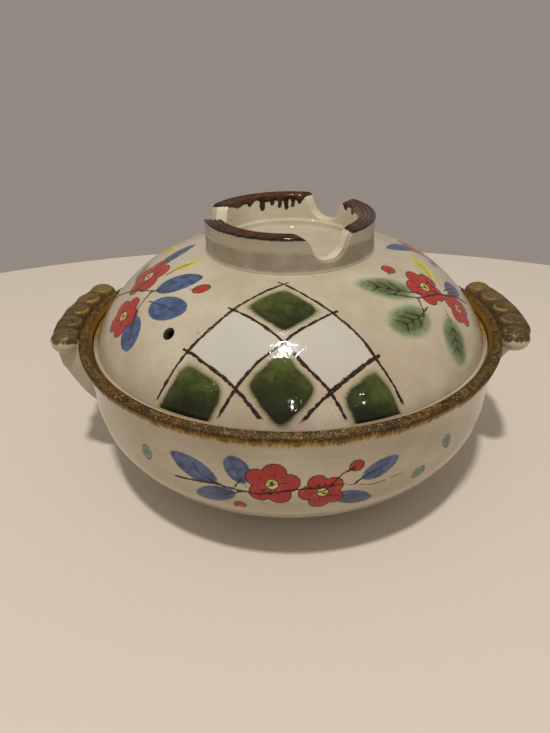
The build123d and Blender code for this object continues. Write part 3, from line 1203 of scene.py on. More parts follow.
@dataclass
class Bowl:
    """The thrown bowl: belly, flank, foot band, flared neck, rim and gallery."""

    rim: RimSizes
    belly: Point = (126.8, 64.0)
    belly_curve: float = 47.7
    flank_angle: float = 43.0
    foot: float = 76.0
    foot_band: float = 16.0
    recess: float = 2.0
    floor: float = 10.0
    wall: float = 8.0
    foot_round: float = 2.2
    ledge_round: float = 0.9
    floor_round: float = 6.5
    steps: int = 608
    dot: Point = (9.4, 7.2)
    """Length and width of a painted dot."""
    fine: float = 1.0
    """Distance between rows where the bowl is painted."""
    fringe: float = 5.0
    """How far the rim's glaze runs down below the outer corner."""
    fringe_sway_mm: float = 14.0
    drip_mm: float = 1.5
    stray: Pair = (1.5, 1.0)
    """How far its edge strays up and down, by drips and by a slow sway."""
    edge_fade: Pair = (-0.8, 1.4)
    """Where it starts and is full, in millimetres above its edge, like the next two."""
    thinning: Pair = (4.2, 1.8)
    pool: tuple[Pair, Pair] = ((2.8, 4.2), (6.6, 4.8))
    pooled: str = "#2b1a05"
    """Colour of the rim's glaze where it gathers above its edge."""
    pool_strength: float = 0.6
    thin_slope: str = "#7c5410"
    thin_strength: float = 0.75
    thin_stray: float = 0.9
    beside_ridge: Pair = (0.6, 3.2)
    """Where the thin glaze on the rim's inner slope starts and is full, inwards from its ridge."""
    beside_handles: Pair = (56.0, 24.0)
    """Where it starts and is full, from the pot's middle line."""
    foot_bare: Pair = (1.4, 0.8)
    """Heights over which the glaze gives way to the foot's bare clay."""
    ledge_band: Pair = (0.3, 0.25)
    """What is bare round the ledge: how far it starts inside the gallery's wall, and its half height."""
    shine: float = 0.2

    def flank(self, radius: float) -> tuple[Point, Point]:
        """Where the belly's arc ends and the flank begins, and the flank's direction downwards."""
        turn = math.radians(90 - self.flank_angle)
        centre = (self.belly[0] - self.belly_curve, self.belly[1])
        end = (centre[0] + radius * math.cos(turn), centre[1] - radius * math.sin(turn))
        return end, (-math.sin(turn), -math.cos(turn))

    def section(self) -> Section:
        """The bowl's section, from under the foot, up the outside and down the inside."""
        rim = self.rim
        outer_flank, down = self.flank(self.belly_curve)
        inner_flank, _ = self.flank(self.belly_curve - self.wall)
        slope = math.radians(self.flank_angle)
        inner_foot = (inner_flank[0] - (inner_flank[1] - self.floor) / math.tan(slope), self.floor)
        up = (-down[0], -down[1])
        inner_belly = (self.belly[0] - self.wall, self.belly[1])
        line = Section()
        line.line((0, self.recess)).line((self.foot - self.foot_band - self.recess, self.recess), 12)
        line.line((self.foot - self.foot_band, 0)).line((self.foot, 0), 4)
        line.arc(outer_flank, arriving=up, step=4)
        line.arc(self.belly, leaving=up, step=1.3)
        line.arc(rim.corner, leaving=(0, 1), step=self.fine)
        line.line(rim.ridge, 0.8)
        line.line((rim.gallery, rim.ridge[1] - rim.lead_in), 0.9)
        line.line((rim.gallery, rim.ledge[1]), 1.5)
        line.line(rim.ledge, 2.5)
        line.line((rim.ledge[0], rim.ledge[1] - rim.nose), 0.9)
        line.arc(inner_belly, arriving=(0, -1), step=3)
        line.arc(inner_flank, leaving=(0, -1), step=4)
        line.line(inner_foot, 4).line((0, self.floor), 12)
        for spot in (rim.corner, rim.ridge):
            line.round(spot, rim.soft_edge)
        line.round((self.foot, 0), self.foot_round).round(rim.ledge, self.ledge_round)
        line.round((rim.ledge[0], rim.ledge[1] - rim.nose), self.ledge_round)
        line.round(inner_foot, self.floor_round, 6)
        return line

    def build(self) -> Object:
        """Throws the bowl and paints it."""
        section = self.section()
        bowl = finish_mesh(throw(section, self.steps), "donabe_bowl")
        xyz = places(bowl)
        azimuth, reach = round_axis(xyz)
        work = Brushwork(azimuth, reach, xyz[:, 2])
        self.plum_twig().paint(work)
        for dot in self.dots():
            dot.paint(work)
        work.wipe((reach < self.belly[0] - self.wall / 2) & (xyz[:, 2] < self.rim.ledge[1]))
        work.store(bowl)
        return bowl

    def plum_twig(self) -> Spray:
        """A twig of red plum blossoms among blue leaves, round the front of the belly."""
        return Spray(-92.0, self.belly[1] - 1.0, (
            Leaf((-46, 6), 29, 14, 155, roundness=0.6),
            Leaf((-35, -9), 24, 12, 200, roundness=0.7),
            Leaf((-22, 11), 19, 13, 110, roundness=0.8),
            Leaf((36, -10), 23, 11, -20, roundness=0.6),
            Leaf((50, 7), 22, 11, 25, roundness=0.6),
            Stroke(((-58, -4), (-36, -1), (-12, -4), (8, 0), (30, 1), (46, -3), (66, -1)), width=1.9),
            Stroke(((-24, -1), (-20, 6)), width=1.4),
            Stroke(((24, 1), (30, 8), (36, 10)), width=1.4),
            Stroke(((-12, -4), (-9, -11), (-2, -14)), width=1.4),
            Blossom((-5, 3), 14.0, 80),
            Blossom((20, -3), 12.0, 110),
            Bud((37, 12), 3.8),
            Bud((-22, -15), 3.2),
        ))

    def dots(self) -> tuple[Spray, ...]:
        """The loose green dots beside the twig, by direction, height and lean."""
        spots = ((-126.6, 67.0, 75.0), (-49.3, 69.0, 110.0), (-58.0, 57.0, 30.0))
        return tuple(Spray(azimuth, z, (Dot((0, 0), *self.dot, lean),)) for azimuth, z, lean in spots)

    def glaze(self) -> bpy.types.Material:
        """Cream crackle glaze outside and in, an iron rim that drips, and bare clay where pieces rest."""
        spot = Recipe.glaze("stoneware_ash_glaze_dipped_iron_rim").place()
        flat, up = spot.flat(), spot.along("Z")
        reach, ridge = flat.size(), self.rim.ridge[0]
        box = PaintBox(red="#9a2a25", red_thin="#ae4038", blue="#2d3b5e", blue_thin="#5f7094")
        coat = box.paint(spot, CrackleGlaze().coat(spot))
        runs = flat.noise(self.drip_mm, 3.0, 0.7)
        drip, sway = self.stray
        end = runs.swing(-drip, drip) + flat.noise(self.fringe_sway_mm, 2.0).swing(-sway, sway) + self.fringe
        left = end - (self.rim.corner[1] - up)
        outside = reach > self.rim.gallery - self.ledge_band[0]
        iron = IronRimGlaze().coat(spot, left.spread(*self.thinning))
        below, above = (left.spread(*ends) for ends in self.pool)
        iron.stain(below * above * self.pool_strength, self.pooled)
        beside = abs(spot.along("Y")).spread(*self.beside_handles)
        slope = reach + runs.swing(-self.thin_stray, self.thin_stray)
        slope = slope.spread(*(ridge - inwards for inwards in self.beside_ridge), 0.0, self.thin_strength)
        iron.stain(slope * beside, self.thin_slope)
        coat = coat.under(iron, left.spread(*self.edge_fade) * outside)
        on_ledge = (abs(up - self.rim.ledge[1]) < self.ledge_band[1]) - outside
        return coat.under(BareClay().coat(spot), up.spread(*self.foot_bare).most(on_ledge)).fire(self.shine)


class Side(Enum):
    """The two handles, by the direction of X that they point in."""

    LEFT = -1
    RIGHT = 1


CORBELS = {
    Side.LEFT: ((40.0, -13.0, 30.0), (50.0, -2.5, 33.5), (60.0, 3.8, 36.5), (80.0, 13.0, 39.5), (93.0, 14.6, 40.0)),
    Side.RIGHT: ((64.0, -4.0, 28.0), (82.0, 4.4, 34.0), (93.0, 11.6, 38.5)),
}
"""Each handle's corbel from its foot up: height, reach past the rim's corner and half length."""

OVERHANGS = {Side.LEFT: 15.8, Side.RIGHT: 17.6}
"""How far each lug reaches past the rim's corner."""

THUMBED = {
    Side.LEFT: ((0.0, 0.1), (0.6, 0.35), (1.1, 0.85), (1.5, 1.0), (1.8, 0.9)),
    Side.RIGHT: ((-0.2, 0.1), (1.6, 0.5), (2.4, 1.0), (2.3, 0.6), (2.0, 0.6)),
}
"""Each handle's knuckles from the front to the back: how much further out one sits, and how amber its edge is."""


@dataclass
class Handle:
    """A lug handle on a corbel, with five thumbed knuckles along its top."""

    side: Side
    rim: RimSizes
    top: float = 98.9
    bottom: float = 89.0
    valley: float = 95.0
    valley_width: float = 1.5
    valley_slope: float = 3.8
    half_turn: float = 16.8
    """Half of the lug's turn round the bowl, in degrees."""
    knuckles: int = 5
    knuckle_pitch: float = 18.0
    knuckle_size: tuple[float, float, float] = (9.4, 9.4, 7.3)
    """Half axes of a knuckle: out from the pot, along the rim, and upwards."""
    knuckle_reach: float = 7.6
    knuckle_height: float = 94.3
    twist: float = 14.0
    """How far a knuckle is turned from pointing straight out, in degrees."""
    setback: float = 3.6
    """How far the handles stand back from the pot's middle line, in degrees."""
    root: float = 6.2
    """How far the handle runs into the wall from the rim's corner."""
    belly_height: float = 64.0
    belly_lean: float = 0.45
    """How much deeper the corbel's root lies for each millimetre below the belly."""
    end_turn: float = 5.0
    """Over how many degrees the lug's ends are rounded."""
    end_round: Pair = (5.5, 3.5)
    """How far a lug's end is drawn in, and how far its underside is lifted."""
    grain: float = 0.62
    kneading: int = 12
    amber_line: float = 0.55
    border: Pair = (3.0, 6.4)
    """How far above the lug's underside the iron glaze ends, in the middle and at the front."""
    border_along: Pair = (-12.0, -36.0)
    """From where to where it rises, along the rim from the handle's middle."""
    stray: Pair = (1.3, 1.6)
    """How far that edge strays up and down, by drips and by swells."""
    edge_fade: Pair = (-0.4, 0.5)
    """Where the iron glaze starts and is full, in millimetres above its edge."""
    thinning: Pair = (1.6, 0.2)
    """Where it starts to thin, and is thinnest, counted likewise."""
    thin_strength: float = 0.35
    swell_mm: float = 12.0
    drip_mm: float = 2.2
    gold_sheen: str = "#7c6633"
    # Colour of the painted sheen, paler and golden, towards the back.
    """Colour towards the back."""
    gold_sheen_along: Pair = (4.0, 44.0)
    """From where to where it grows, along the rim from the pot's middle line."""
    gold_sheen_stray: float = 14.0
    gold_sheen_strength: float = 0.5
    # Painted shade: the dark laid in the creases between the knuckles, and how strongly.
    crease_shade: str = "#2c1c07"
    crease_shade_strength: float = 0.6
    shine: float = 0.35

    DISH = 0.42
    """Radius of the thumb's dish on a knuckle. This and the next four are shares of the knuckle's half axes."""
    DISH_SHIFT = 0.1
    CRESCENT = 0.66
    # The next two say where the painted shade between the knuckles starts and where it is full.
    CREASE_SHADE_START = 0.72
    CREASE_SHADE_FADE = 0.3
    CRESCENT_LEAN = 12.0
    """The crescent's middle, its half length and how it fades, in degrees round the dish."""
    CRESCENT_HALF = 72.0
    CRESCENT_FADE = 30.0
    PRESS_MM = 0.4
    """How deep the dish is and how high the crescent."""
    TOP_FADE_MM = 3.0

    def lug(self) -> BMesh:
        """The lug's body, turned round the pot's axis."""
        corner = self.rim.corner[0]
        overhang = OVERHANGS[self.side]
        section = Section()
        for point in (
            (corner - self.root, self.bottom),
            (corner + overhang, self.bottom),
            (corner + overhang, self.top),
            (corner + self.valley_width + self.valley_slope, self.top),
            (corner + self.valley_width, self.valley),
            (corner - self.root, self.valley),
        ):
            section.line(point, UNDIVIDED)
        lug = throw(section, 40, math.radians(2 * self.half_turn))
        middle = (self.top + self.bottom) / 2
        for vert in lug.verts:
            reach = math.hypot(vert.co.x, vert.co.y)
            turn = abs(math.degrees(math.atan2(vert.co.y, vert.co.x)))
            end = max(0.0, (turn - self.half_turn) / self.end_turn + 1.0) ** 2
            if reach > corner + self.valley_width + self.valley_slope:
                vert.co.xy *= 1 - self.end_round[0] * end / reach
            if vert.co.z < middle:
                vert.co.z += self.end_round[1] * end
        return lug

    def knuckle_frames(self) -> list[Matrix]:
        """The frame that each knuckle sits in."""
        reach = self.rim.corner[0] + self.knuckle_reach
        step = math.degrees(self.knuckle_pitch / reach)
        frames = []
        for k in range(self.knuckles):
            out = Matrix.Translation((reach + THUMBED[self.side][k][0], 0.0, self.knuckle_height))
            frames.append(turn_z(step * (k - (self.knuckles - 1) / 2)) @ out @ turn_z(self.twist))
        return frames

    def corbel(self) -> BMesh:
        """The tapered corbel under the lug."""
        shape = bmesh.new()
        corner = self.rim.corner[0]
        bmesh.ops.create_cube(shape, size=2.0)
        bmesh.ops.subdivide_edges(shape, edges=shape.edges, cuts=11, use_grid_fill=True)
        levels, reaches, halves = zip(*CORBELS[self.side])
        for vert in shape.verts:
            height = levels[0] + (levels[-1] - levels[0]) * (vert.co.z + 1) / 2
            out = float(np.interp(height, levels, reaches))
            y = vert.co.y * float(np.interp(height, levels, halves))
            bow = corner - math.sqrt(corner**2 - y**2)
            root = self.root + self.belly_lean * max(0.0, self.belly_height - height)
            vert.co = (corner - root + (out + root) * (vert.co.x + 1) / 2 - bow, y, height)
        return shape

    def build(self) -> Object:
        """Lutes lug, knuckles and corbel into one handle, and marks where its glaze breaks amber and where shade is
        painted between the knuckles.
        """
        lumps = [self.lug(), self.corbel()]
        for spot in self.knuckle_frames():
            lump = bmesh.new()
            bmesh.ops.create_uvsphere(lump, u_segments=32, v_segments=20, radius=1.0)
            bmesh.ops.scale(lump, vec=self.knuckle_size, verts=lump.verts)
            bmesh.ops.transform(lump, matrix=spot, verts=lump.verts)
            lumps.append(lump)
        handle = finish_mesh(merge(lumps), f"donabe_handle_{self.side.name.lower()}")
        knead(handle, self.grain, self.kneading)
        xyz = places(handle)
        amber, ridge, crease_shade = self.thumb_marks(xyz)
        xyz[:, 2] += ridge
        xyz = xyz @ np.array(turn_z(self.setback, 3)).T
        if self.side is Side.LEFT:
            xyz[:, 0] *= -1
        set_places(handle, xyz)
        if self.side is Side.LEFT:
            handle.data.flip_normals()
        mark(handle, AMBER, amber)
        mark(handle, CREASE_SHADE, crease_shade)
        Brushwork(*round_axis(xyz), xyz[:, 2]).store(handle)
        return handle

    def thumb_marks(self, xyz: np.ndarray) -> tuple[np.ndarray, np.ndarray, np.ndarray]:
        """Raised crescents that the thumb leaves at the inner end of each knuckle, and the painted shade in the
        creases between them.

        Args:
            xyz: the handle's vertices, in millimetres.

        Returns:
            How amber each vertex is, from 0 to 1, how far it is raised, in millimetres, and how much painted
            shade it gets for lying deep in a crease, from 0 to 1.
        """
        amber, ridge = np.zeros(len(xyz)), np.zeros(len(xyz))
        away = np.full(len(xyz), Brushwork.FAR)
        for spot, (_, strong) in zip(self.knuckle_frames(), THUMBED[self.side]):
            local = np.c_[xyz, np.ones(len(xyz))] @ np.array(spot.inverted()).T
            u, v = local[:, 0] / self.knuckle_size[0], local[:, 1] / self.knuckle_size[1]
            inwards = u + self.DISH_SHIFT
            ring = np.abs(np.hypot(inwards, v) - self.CRESCENT) * self.knuckle_size[1]
            angle = np.degrees(np.arctan2(v, -inwards)) + self.CRESCENT_LEAN
            crescent = np.clip((self.CRESCENT_HALF - np.abs(angle)) / self.CRESCENT_FADE, 0.0, 1.0)
            above = np.clip(local[:, 2] / self.TOP_FADE_MM, 0.0, 1.0)
            strength = np.exp(-((ring / self.amber_line) ** 2)) * crescent * above
            amber = np.maximum(amber, strength * strong)
            away = np.minimum(away, np.hypot(u, v))
            pressed = np.exp(-((np.hypot(inwards, v) / self.DISH) ** 2)) * above
            ridge += strength * self.PRESS_MM - pressed * self.PRESS_MM
        return amber, ridge, np.clip((away - self.CREASE_SHADE_START) / self.CREASE_SHADE_FADE, 0.0, 1.0)

    def glaze(self) -> bpy.types.Material:
        """Iron glaze over the lug and its knuckles, cream glaze on the corbel below, with a painted sheen towards
        the back and painted shade between the knuckles.
        """
        spot = Recipe.glaze("stoneware_iron_glaze_brushed_on_lug").place()
        flat, along, read = spot.flat(), spot.along("Y"), spot.recipe.read
        ground = CrackleGlaze().coat(spot)
        swells = flat.noise(self.swell_mm, 2.0)
        drip, swell = self.stray
        edge = flat.noise(self.drip_mm, 2.0, 0.7).spread(0.25, 0.75, -drip, drip) + swells.swing(-swell, swell)
        aside = along - self.rim.corner[0] * math.sin(math.radians(self.setback))
        border = aside.spread(*self.border_along, *(self.bottom + rise for rise in self.border))
        above = spot.along("Z") - (edge + border)
        thin = above.spread(*self.thinning, 0.0, self.thin_strength).most(read(AMBER))
        iron = IronRimGlaze(dark="#34230a", middle="#5c4318", amber="#b08c3e", crystal="#8a7a50", roughness=0.3)
        coat = iron.coat(spot, thin)
        # Painted sheen: the glaze turns paler gold towards the back.
        back = along + swells.swing(-self.gold_sheen_stray, self.gold_sheen_stray)
        coat.stain(back.spread(*self.gold_sheen_along, 0.0, self.gold_sheen_strength), self.gold_sheen)
        # Painted shade in the creases between the knuckles.
        coat.stain(read(CREASE_SHADE) * self.crease_shade_strength, self.crease_shade)
        return ground.under(coat, above.spread(*self.edge_fade)).fire(self.shine)


@dataclass
class Lid:
    """The domed lid: crown, side, groove, flange and steam hole."""

    rim: RimSizes
    play: float = 0.6
    land: float = 1.2
    land_slope: float = 0.6
    groove: Point = (0.8, 0.9)
    """Width and depth of the groove round the dome's foot."""
    flange_height: float = 6.3
    dome_foot_rise: float = -0.4
    rise: float = 60.2
    crown: float = 367.0
    crown_turn: float = 8.5
    wall: float = 6.5
    bearing: float = 11.9
    mouth_rise: float = 2.5
    hole_size: float = 6.5
    hole_azimuth: float = -129.0
    hole_inset: float = 22.2
    steps: int = 640
    fine: float = 1.0
    toast: str = "#a68f7b"
    toast_width: float = 34.0
    """How far up from the dome's foot the glaze is toasted."""
    toast_mm: float = 18.0
    toast_patches: Pair = (0.35, 0.6)
    """Where in their noise the toasted patches start and are full."""
    toast_strength: float = 0.75
    blot_mm: float = 9.0
    stain: tuple[str, str] = ("#6b4a12", "#9a7426")
    """Colours of the brown stain beside the handles."""
    stain_mix: Pair = (0.4, 0.6)
    """Where in the blots' noise the first colour ends and the second one is full."""
    stain_strength: float = 0.92
    stain_stray: float = 3.0
    beside_foot: Pair = (7.5, 1.5)
    """Where that stain starts and is full, inwards from the dome's foot."""
    beside_handles: Pair = (46.0, 16.0)
    """Where it starts and is full, from the pot's middle line."""
    # Painted shade: near black laid in the steam hole, which the light hardly reaches.
    bore: str = "#120c07"
    hole_shade_edge: Pair = (0.5, 0.1)
    # Where the painted shade in the steam hole starts and is full, outwards from its wall.
    """Where the steam hole's dark starts and is full, outwards from its wall."""
    hole_shade_strength: float = 0.95
    seat_edge: Pair = (0.35, 0.15)
    """Heights above the seat over which the glaze gives way to bare clay."""
    lattice_turn: Pair = (-37.5, 32.3)
    """Slants of the lattice's two sets of lines, seen from above, in degrees."""
    lattice_down: tuple[float, ...] = (49.9, 77.4, 102.5)
    lattice_across: tuple[float, ...] = (48.0, 77.7, 103.2)
    """How far the lines of each set pass from the axis, seen from above, in millimetres."""

    OUTSIDE = 4.0
    """How many cells outside the lattice the count stops."""

    @property
    def seat(self) -> float:
        """Height at which the lid rests on the ledge."""
        return self.rim.ledge[1]

    @property
    def foot(self) -> Point:
        """The dome's foot, above the groove."""
        reach = self.rim.gallery - self.play - self.land - self.groove[0]
        return reach, self.seat + self.flange_height + self.dome_foot_rise

    def section(self) -> Section:
        """The lid's section, from the crown, down the outside and back up the inside."""
        turn = math.radians(self.crown_turn)
        down = (math.cos(turn), -math.sin(turn))
        top = self.seat + self.rise
        shoulder = (self.crown * math.sin(turn), top - self.crown * (1 - math.cos(turn)))
        inner = self.crown - self.wall
        inner_shoulder = (inner * math.sin(turn), top - self.wall - inner * (1 - math.cos(turn)))
        edge = self.rim.gallery - self.play
        land = self.seat + self.flange_height
        mouth = (edge - self.bearing, self.seat + self.mouth_rise)
        line = Section()
        line.line((0, top))
        line.arc(shoulder, leaving=(1, 0), step=3.5)
        line.arc(self.foot, leaving=down, step=self.fine)
        line.line((self.foot[0], land - self.groove[1]), 1.5)
        line.line((edge - self.land, land - self.groove[1])).line((edge - self.land, land))
        line.line((edge, land - self.land_slope), 1.2).line((edge, self.seat), 2)
        line.line((mouth[0], self.seat), 3).line(mouth, 1.5)
        line.arc(inner_shoulder, arriving=(-down[0], -down[1]), step=7)
        line.arc((0, top - self.wall), leaving=(-down[0], -down[1]), step=12)
        line.round(self.foot, 0.45, 2).round((edge, land - self.land_slope), 0.5).round((edge, self.seat), 0.9)
        line.round((edge - self.land, land), 0.4, 2)
        return line

    def hole_frame(self) -> Matrix:
        """The steam hole's frame: on the dome's skin, its Z axis square to the dome."""
        reach = self.foot[0] - self.hole_inset
        pts = np.array(self.section().points)
        outside = pts[: int(np.argmin(np.hypot(*(pts - np.array(self.foot)).T))) + 1]
        k = int(np.argmin(np.abs(outside[:, 0] - reach)))
        run = outside[k + 1] - outside[k - 1]
        normal = Vector((-run[1], 0.0, run[0])).normalized()
        height = float(np.interp(reach, outside[:, 0], outside[:, 1]))
        tilt = Vector((0, 0, 1)).rotation_difference(normal).to_matrix().to_4x4()
        return turn_z(self.hole_azimuth) @ Matrix.Translation((reach, 0, height)) @ tilt

    def steam_hole(self) -> list[Object]:
        """Cutters for the steam hole: the drill, and the flare of its wiped edge."""
        cutters = []
        for name, lower, upper, depth, lift in (
            ("drill", 0.0, 0.0, 4 * self.wall, 0.0),
            ("flare", -0.4, 1.1, 1.8, 0.7),
        ):
            shape = bmesh.new()
            bmesh.ops.create_cone(shape, cap_ends=True, segments=40, radius1=self.hole_size / 2 + lower,
                                  radius2=self.hole_size / 2 + upper, depth=depth)
            bmesh.ops.translate(shape, vec=(0, 0, lift), verts=shape.verts)
            bmesh.ops.transform(shape, matrix=self.hole_frame(), verts=shape.verts)
            cutters.append(finish_mesh(shape, name))
        return cutters

    def build(self) -> Object:
        """Throws the lid, drills it and paints it."""
        section = self.section()
        lid = finish_mesh(throw(section, self.steps), "donabe_lid")
        carve(lid, self.steam_hole())
        xyz = places(lid)
        azimuth, reach = round_axis(xyz)
        pts, runs = np.array(section.points), section.runs()
        last = int(np.argmin(np.hypot(*(pts - np.array(self.foot)).T)))
        run = runs[last] - np.interp(reach, pts[:last + 1, 0], runs[:last + 1])
        work = Brushwork(azimuth, reach, run)
        for spray in (self.left_spray(), self.right_spray()):
            spray.paint(work)
        skin = np.interp(reach, pts[:last + 1, 0], pts[:last + 1, 1])
        under = xyz[:, 2] < skin - self.wall / 2
        work.wipe(under)
        work.store(lid)
        self.mark_lattice(lid, xyz, under)
        return lid

    def mark_lattice(self, lid: Object, xyz: np.ndarray, under: np.ndarray) -> None:
        """Stores how many cells down and across the lattice each vertex lies.

        Args:
            lid: the lid.
            xyz: its vertices, in millimetres.
            under: which of them are on the inside.
        """
        front = np.where(xyz[:, 1] < 0, 1.0, -1.0)
        for name, slant, lines in (
            (LATTICE_DOWN, self.lattice_turn[0], self.lattice_down),
            (LATTICE_ACROSS, self.lattice_turn[1], self.lattice_across),
        ):
            a = math.radians(slant)
            away = (xyz[:, 0] * math.sin(a) - xyz[:, 1] * math.cos(a)) * front
            pitch = (lines[-1] - lines[0]) / (len(lines) - 1)
            knots = [lines[0] - self.OUTSIDE * pitch, *lines, lines[-1] + 2 * pitch]
            cells = np.interp(away, knots, [-self.OUTSIDE, *range(len(lines)), len(lines) + 1.0])
            mark(lid, name, np.where(under, -self.OUTSIDE, cells))

    def left_spray(self) -> Spray:
        """Plum blossoms over blue leaves, left of the lattice."""
        return Spray(-157.0, 46.0, (
            Leaf((17, 19), 26, 16, 60, roundness=0.7),
            Leaf((31, 3), 26, 17, 8, roundness=0.8),
            Leaf((23, -19), 24, 15, -46, roundness=0.7),
            Leaf((-22, 26), 26, 12, 118, roundness=0.6),
            Leaf((-30, 2), 20, 9, 160, Pigment.GREEN, 0.5),
            Leaf((2, 31), 21, 7, 86, Pigment.YELLOW, 0.2),
            Stroke(((-38, -24), (-24, -14), (-8, -2), (8, 6), (20, 12)), width=2.0),
            Stroke(((-8, -2), (-8, 12), (-14, 22)), width=1.5),
            Stroke(((8, 6), (12, -6), (16, -12)), width=1.5),
            Blossom((-12, 8), 15.0, 60),
            Blossom((5, -16), 13.5, 96),
            Bud((34, 22), 4.2),
        ))

    def right_spray(self) -> Spray:
        """Plum blossoms among soft green leaves, right of the lattice."""
        return Spray(-31.0, 46.0, (
            Leaf((-20, 20), 30, 19, 140, Pigment.GREEN, 0.8, 3),
            Leaf((-29, -3), 30, 20, 186, Pigment.GREEN, 0.8, 3),
            Leaf((-9, -25), 30, 19, 238, Pigment.GREEN, 0.8, 3),
            Leaf((27, 15), 27, 12, 44, Pigment.YELLOW, 0.5),
            Leaf((31, -8), 22, 11, -24, Pigment.BLUE, 0.4),
            Stroke(((38, -22), (24, -10), (8, 0), (-10, 6), (-24, 16)), width=1.9),
            Stroke(((8, 0), (14, 12), (24, 20)), width=1.5),
            Stroke(((-10, 6), (-18, -4), (-26, -8)), width=1.4),
            Blossom((4, 8), 13.5, 80),
            Blossom((16, -15), 11.5, 120),
            Bud((-2, 30), 4.0),
        ))

    def glaze(self) -> bpy.types.Material:
        """Cream crackle glaze with the lattice and the sprays, stained brown beside the handles, and painted shade
        in the steam hole.
        """
        spot = Recipe.glaze("stoneware_ash_glaze_dipped_painted").place()
        reach, foot, add = spot.flat().size(), self.foot[0], spot.recipe.add
        ground = CrackleGlaze(wheel_mark_mm=9.0).coat(spot)
        patches = spot.noise(self.toast_mm, 3.0).spread(*self.toast_patches)
        ground.stain(reach.spread(foot - self.toast_width, foot) * patches * self.toast_strength, self.toast)
        coat = PaintBox().paint(spot, Lattice(foot).paint(spot, ground))
        blot = spot.noise(self.blot_mm, 3.0, 0.6)
        edge = reach + blot.swing(-self.stain_stray, self.stain_stray)
        edge = edge.spread(*(foot - inwards for inwards in self.beside_foot), 0.0, self.stain_strength)
        beside = abs(spot.along("Y")).spread(*self.beside_handles)
        coat.stain(edge * beside, blot.spread(*self.stain_mix).blend(*self.stain))
        # Painted shade in the steam hole.
        hole, radius = self.hole_frame(), self.hole_size / 2
        away = add("VectorMath", spot, tuple(hole.translation), operation="SUBTRACT")
        off = add("VectorMath", away, tuple(hole.col[2][:3]), operation="CROSS_PRODUCT").size()
        coat.stain(off.spread(*(radius + past for past in self.hole_shade_edge), 0.0, self.hole_shade_strength), self.bore)
        on_seat = spot.along("Z").spread(*(self.seat + above for above in self.seat_edge))
        return coat.under(BareClay().coat(spot), on_seat).fire()


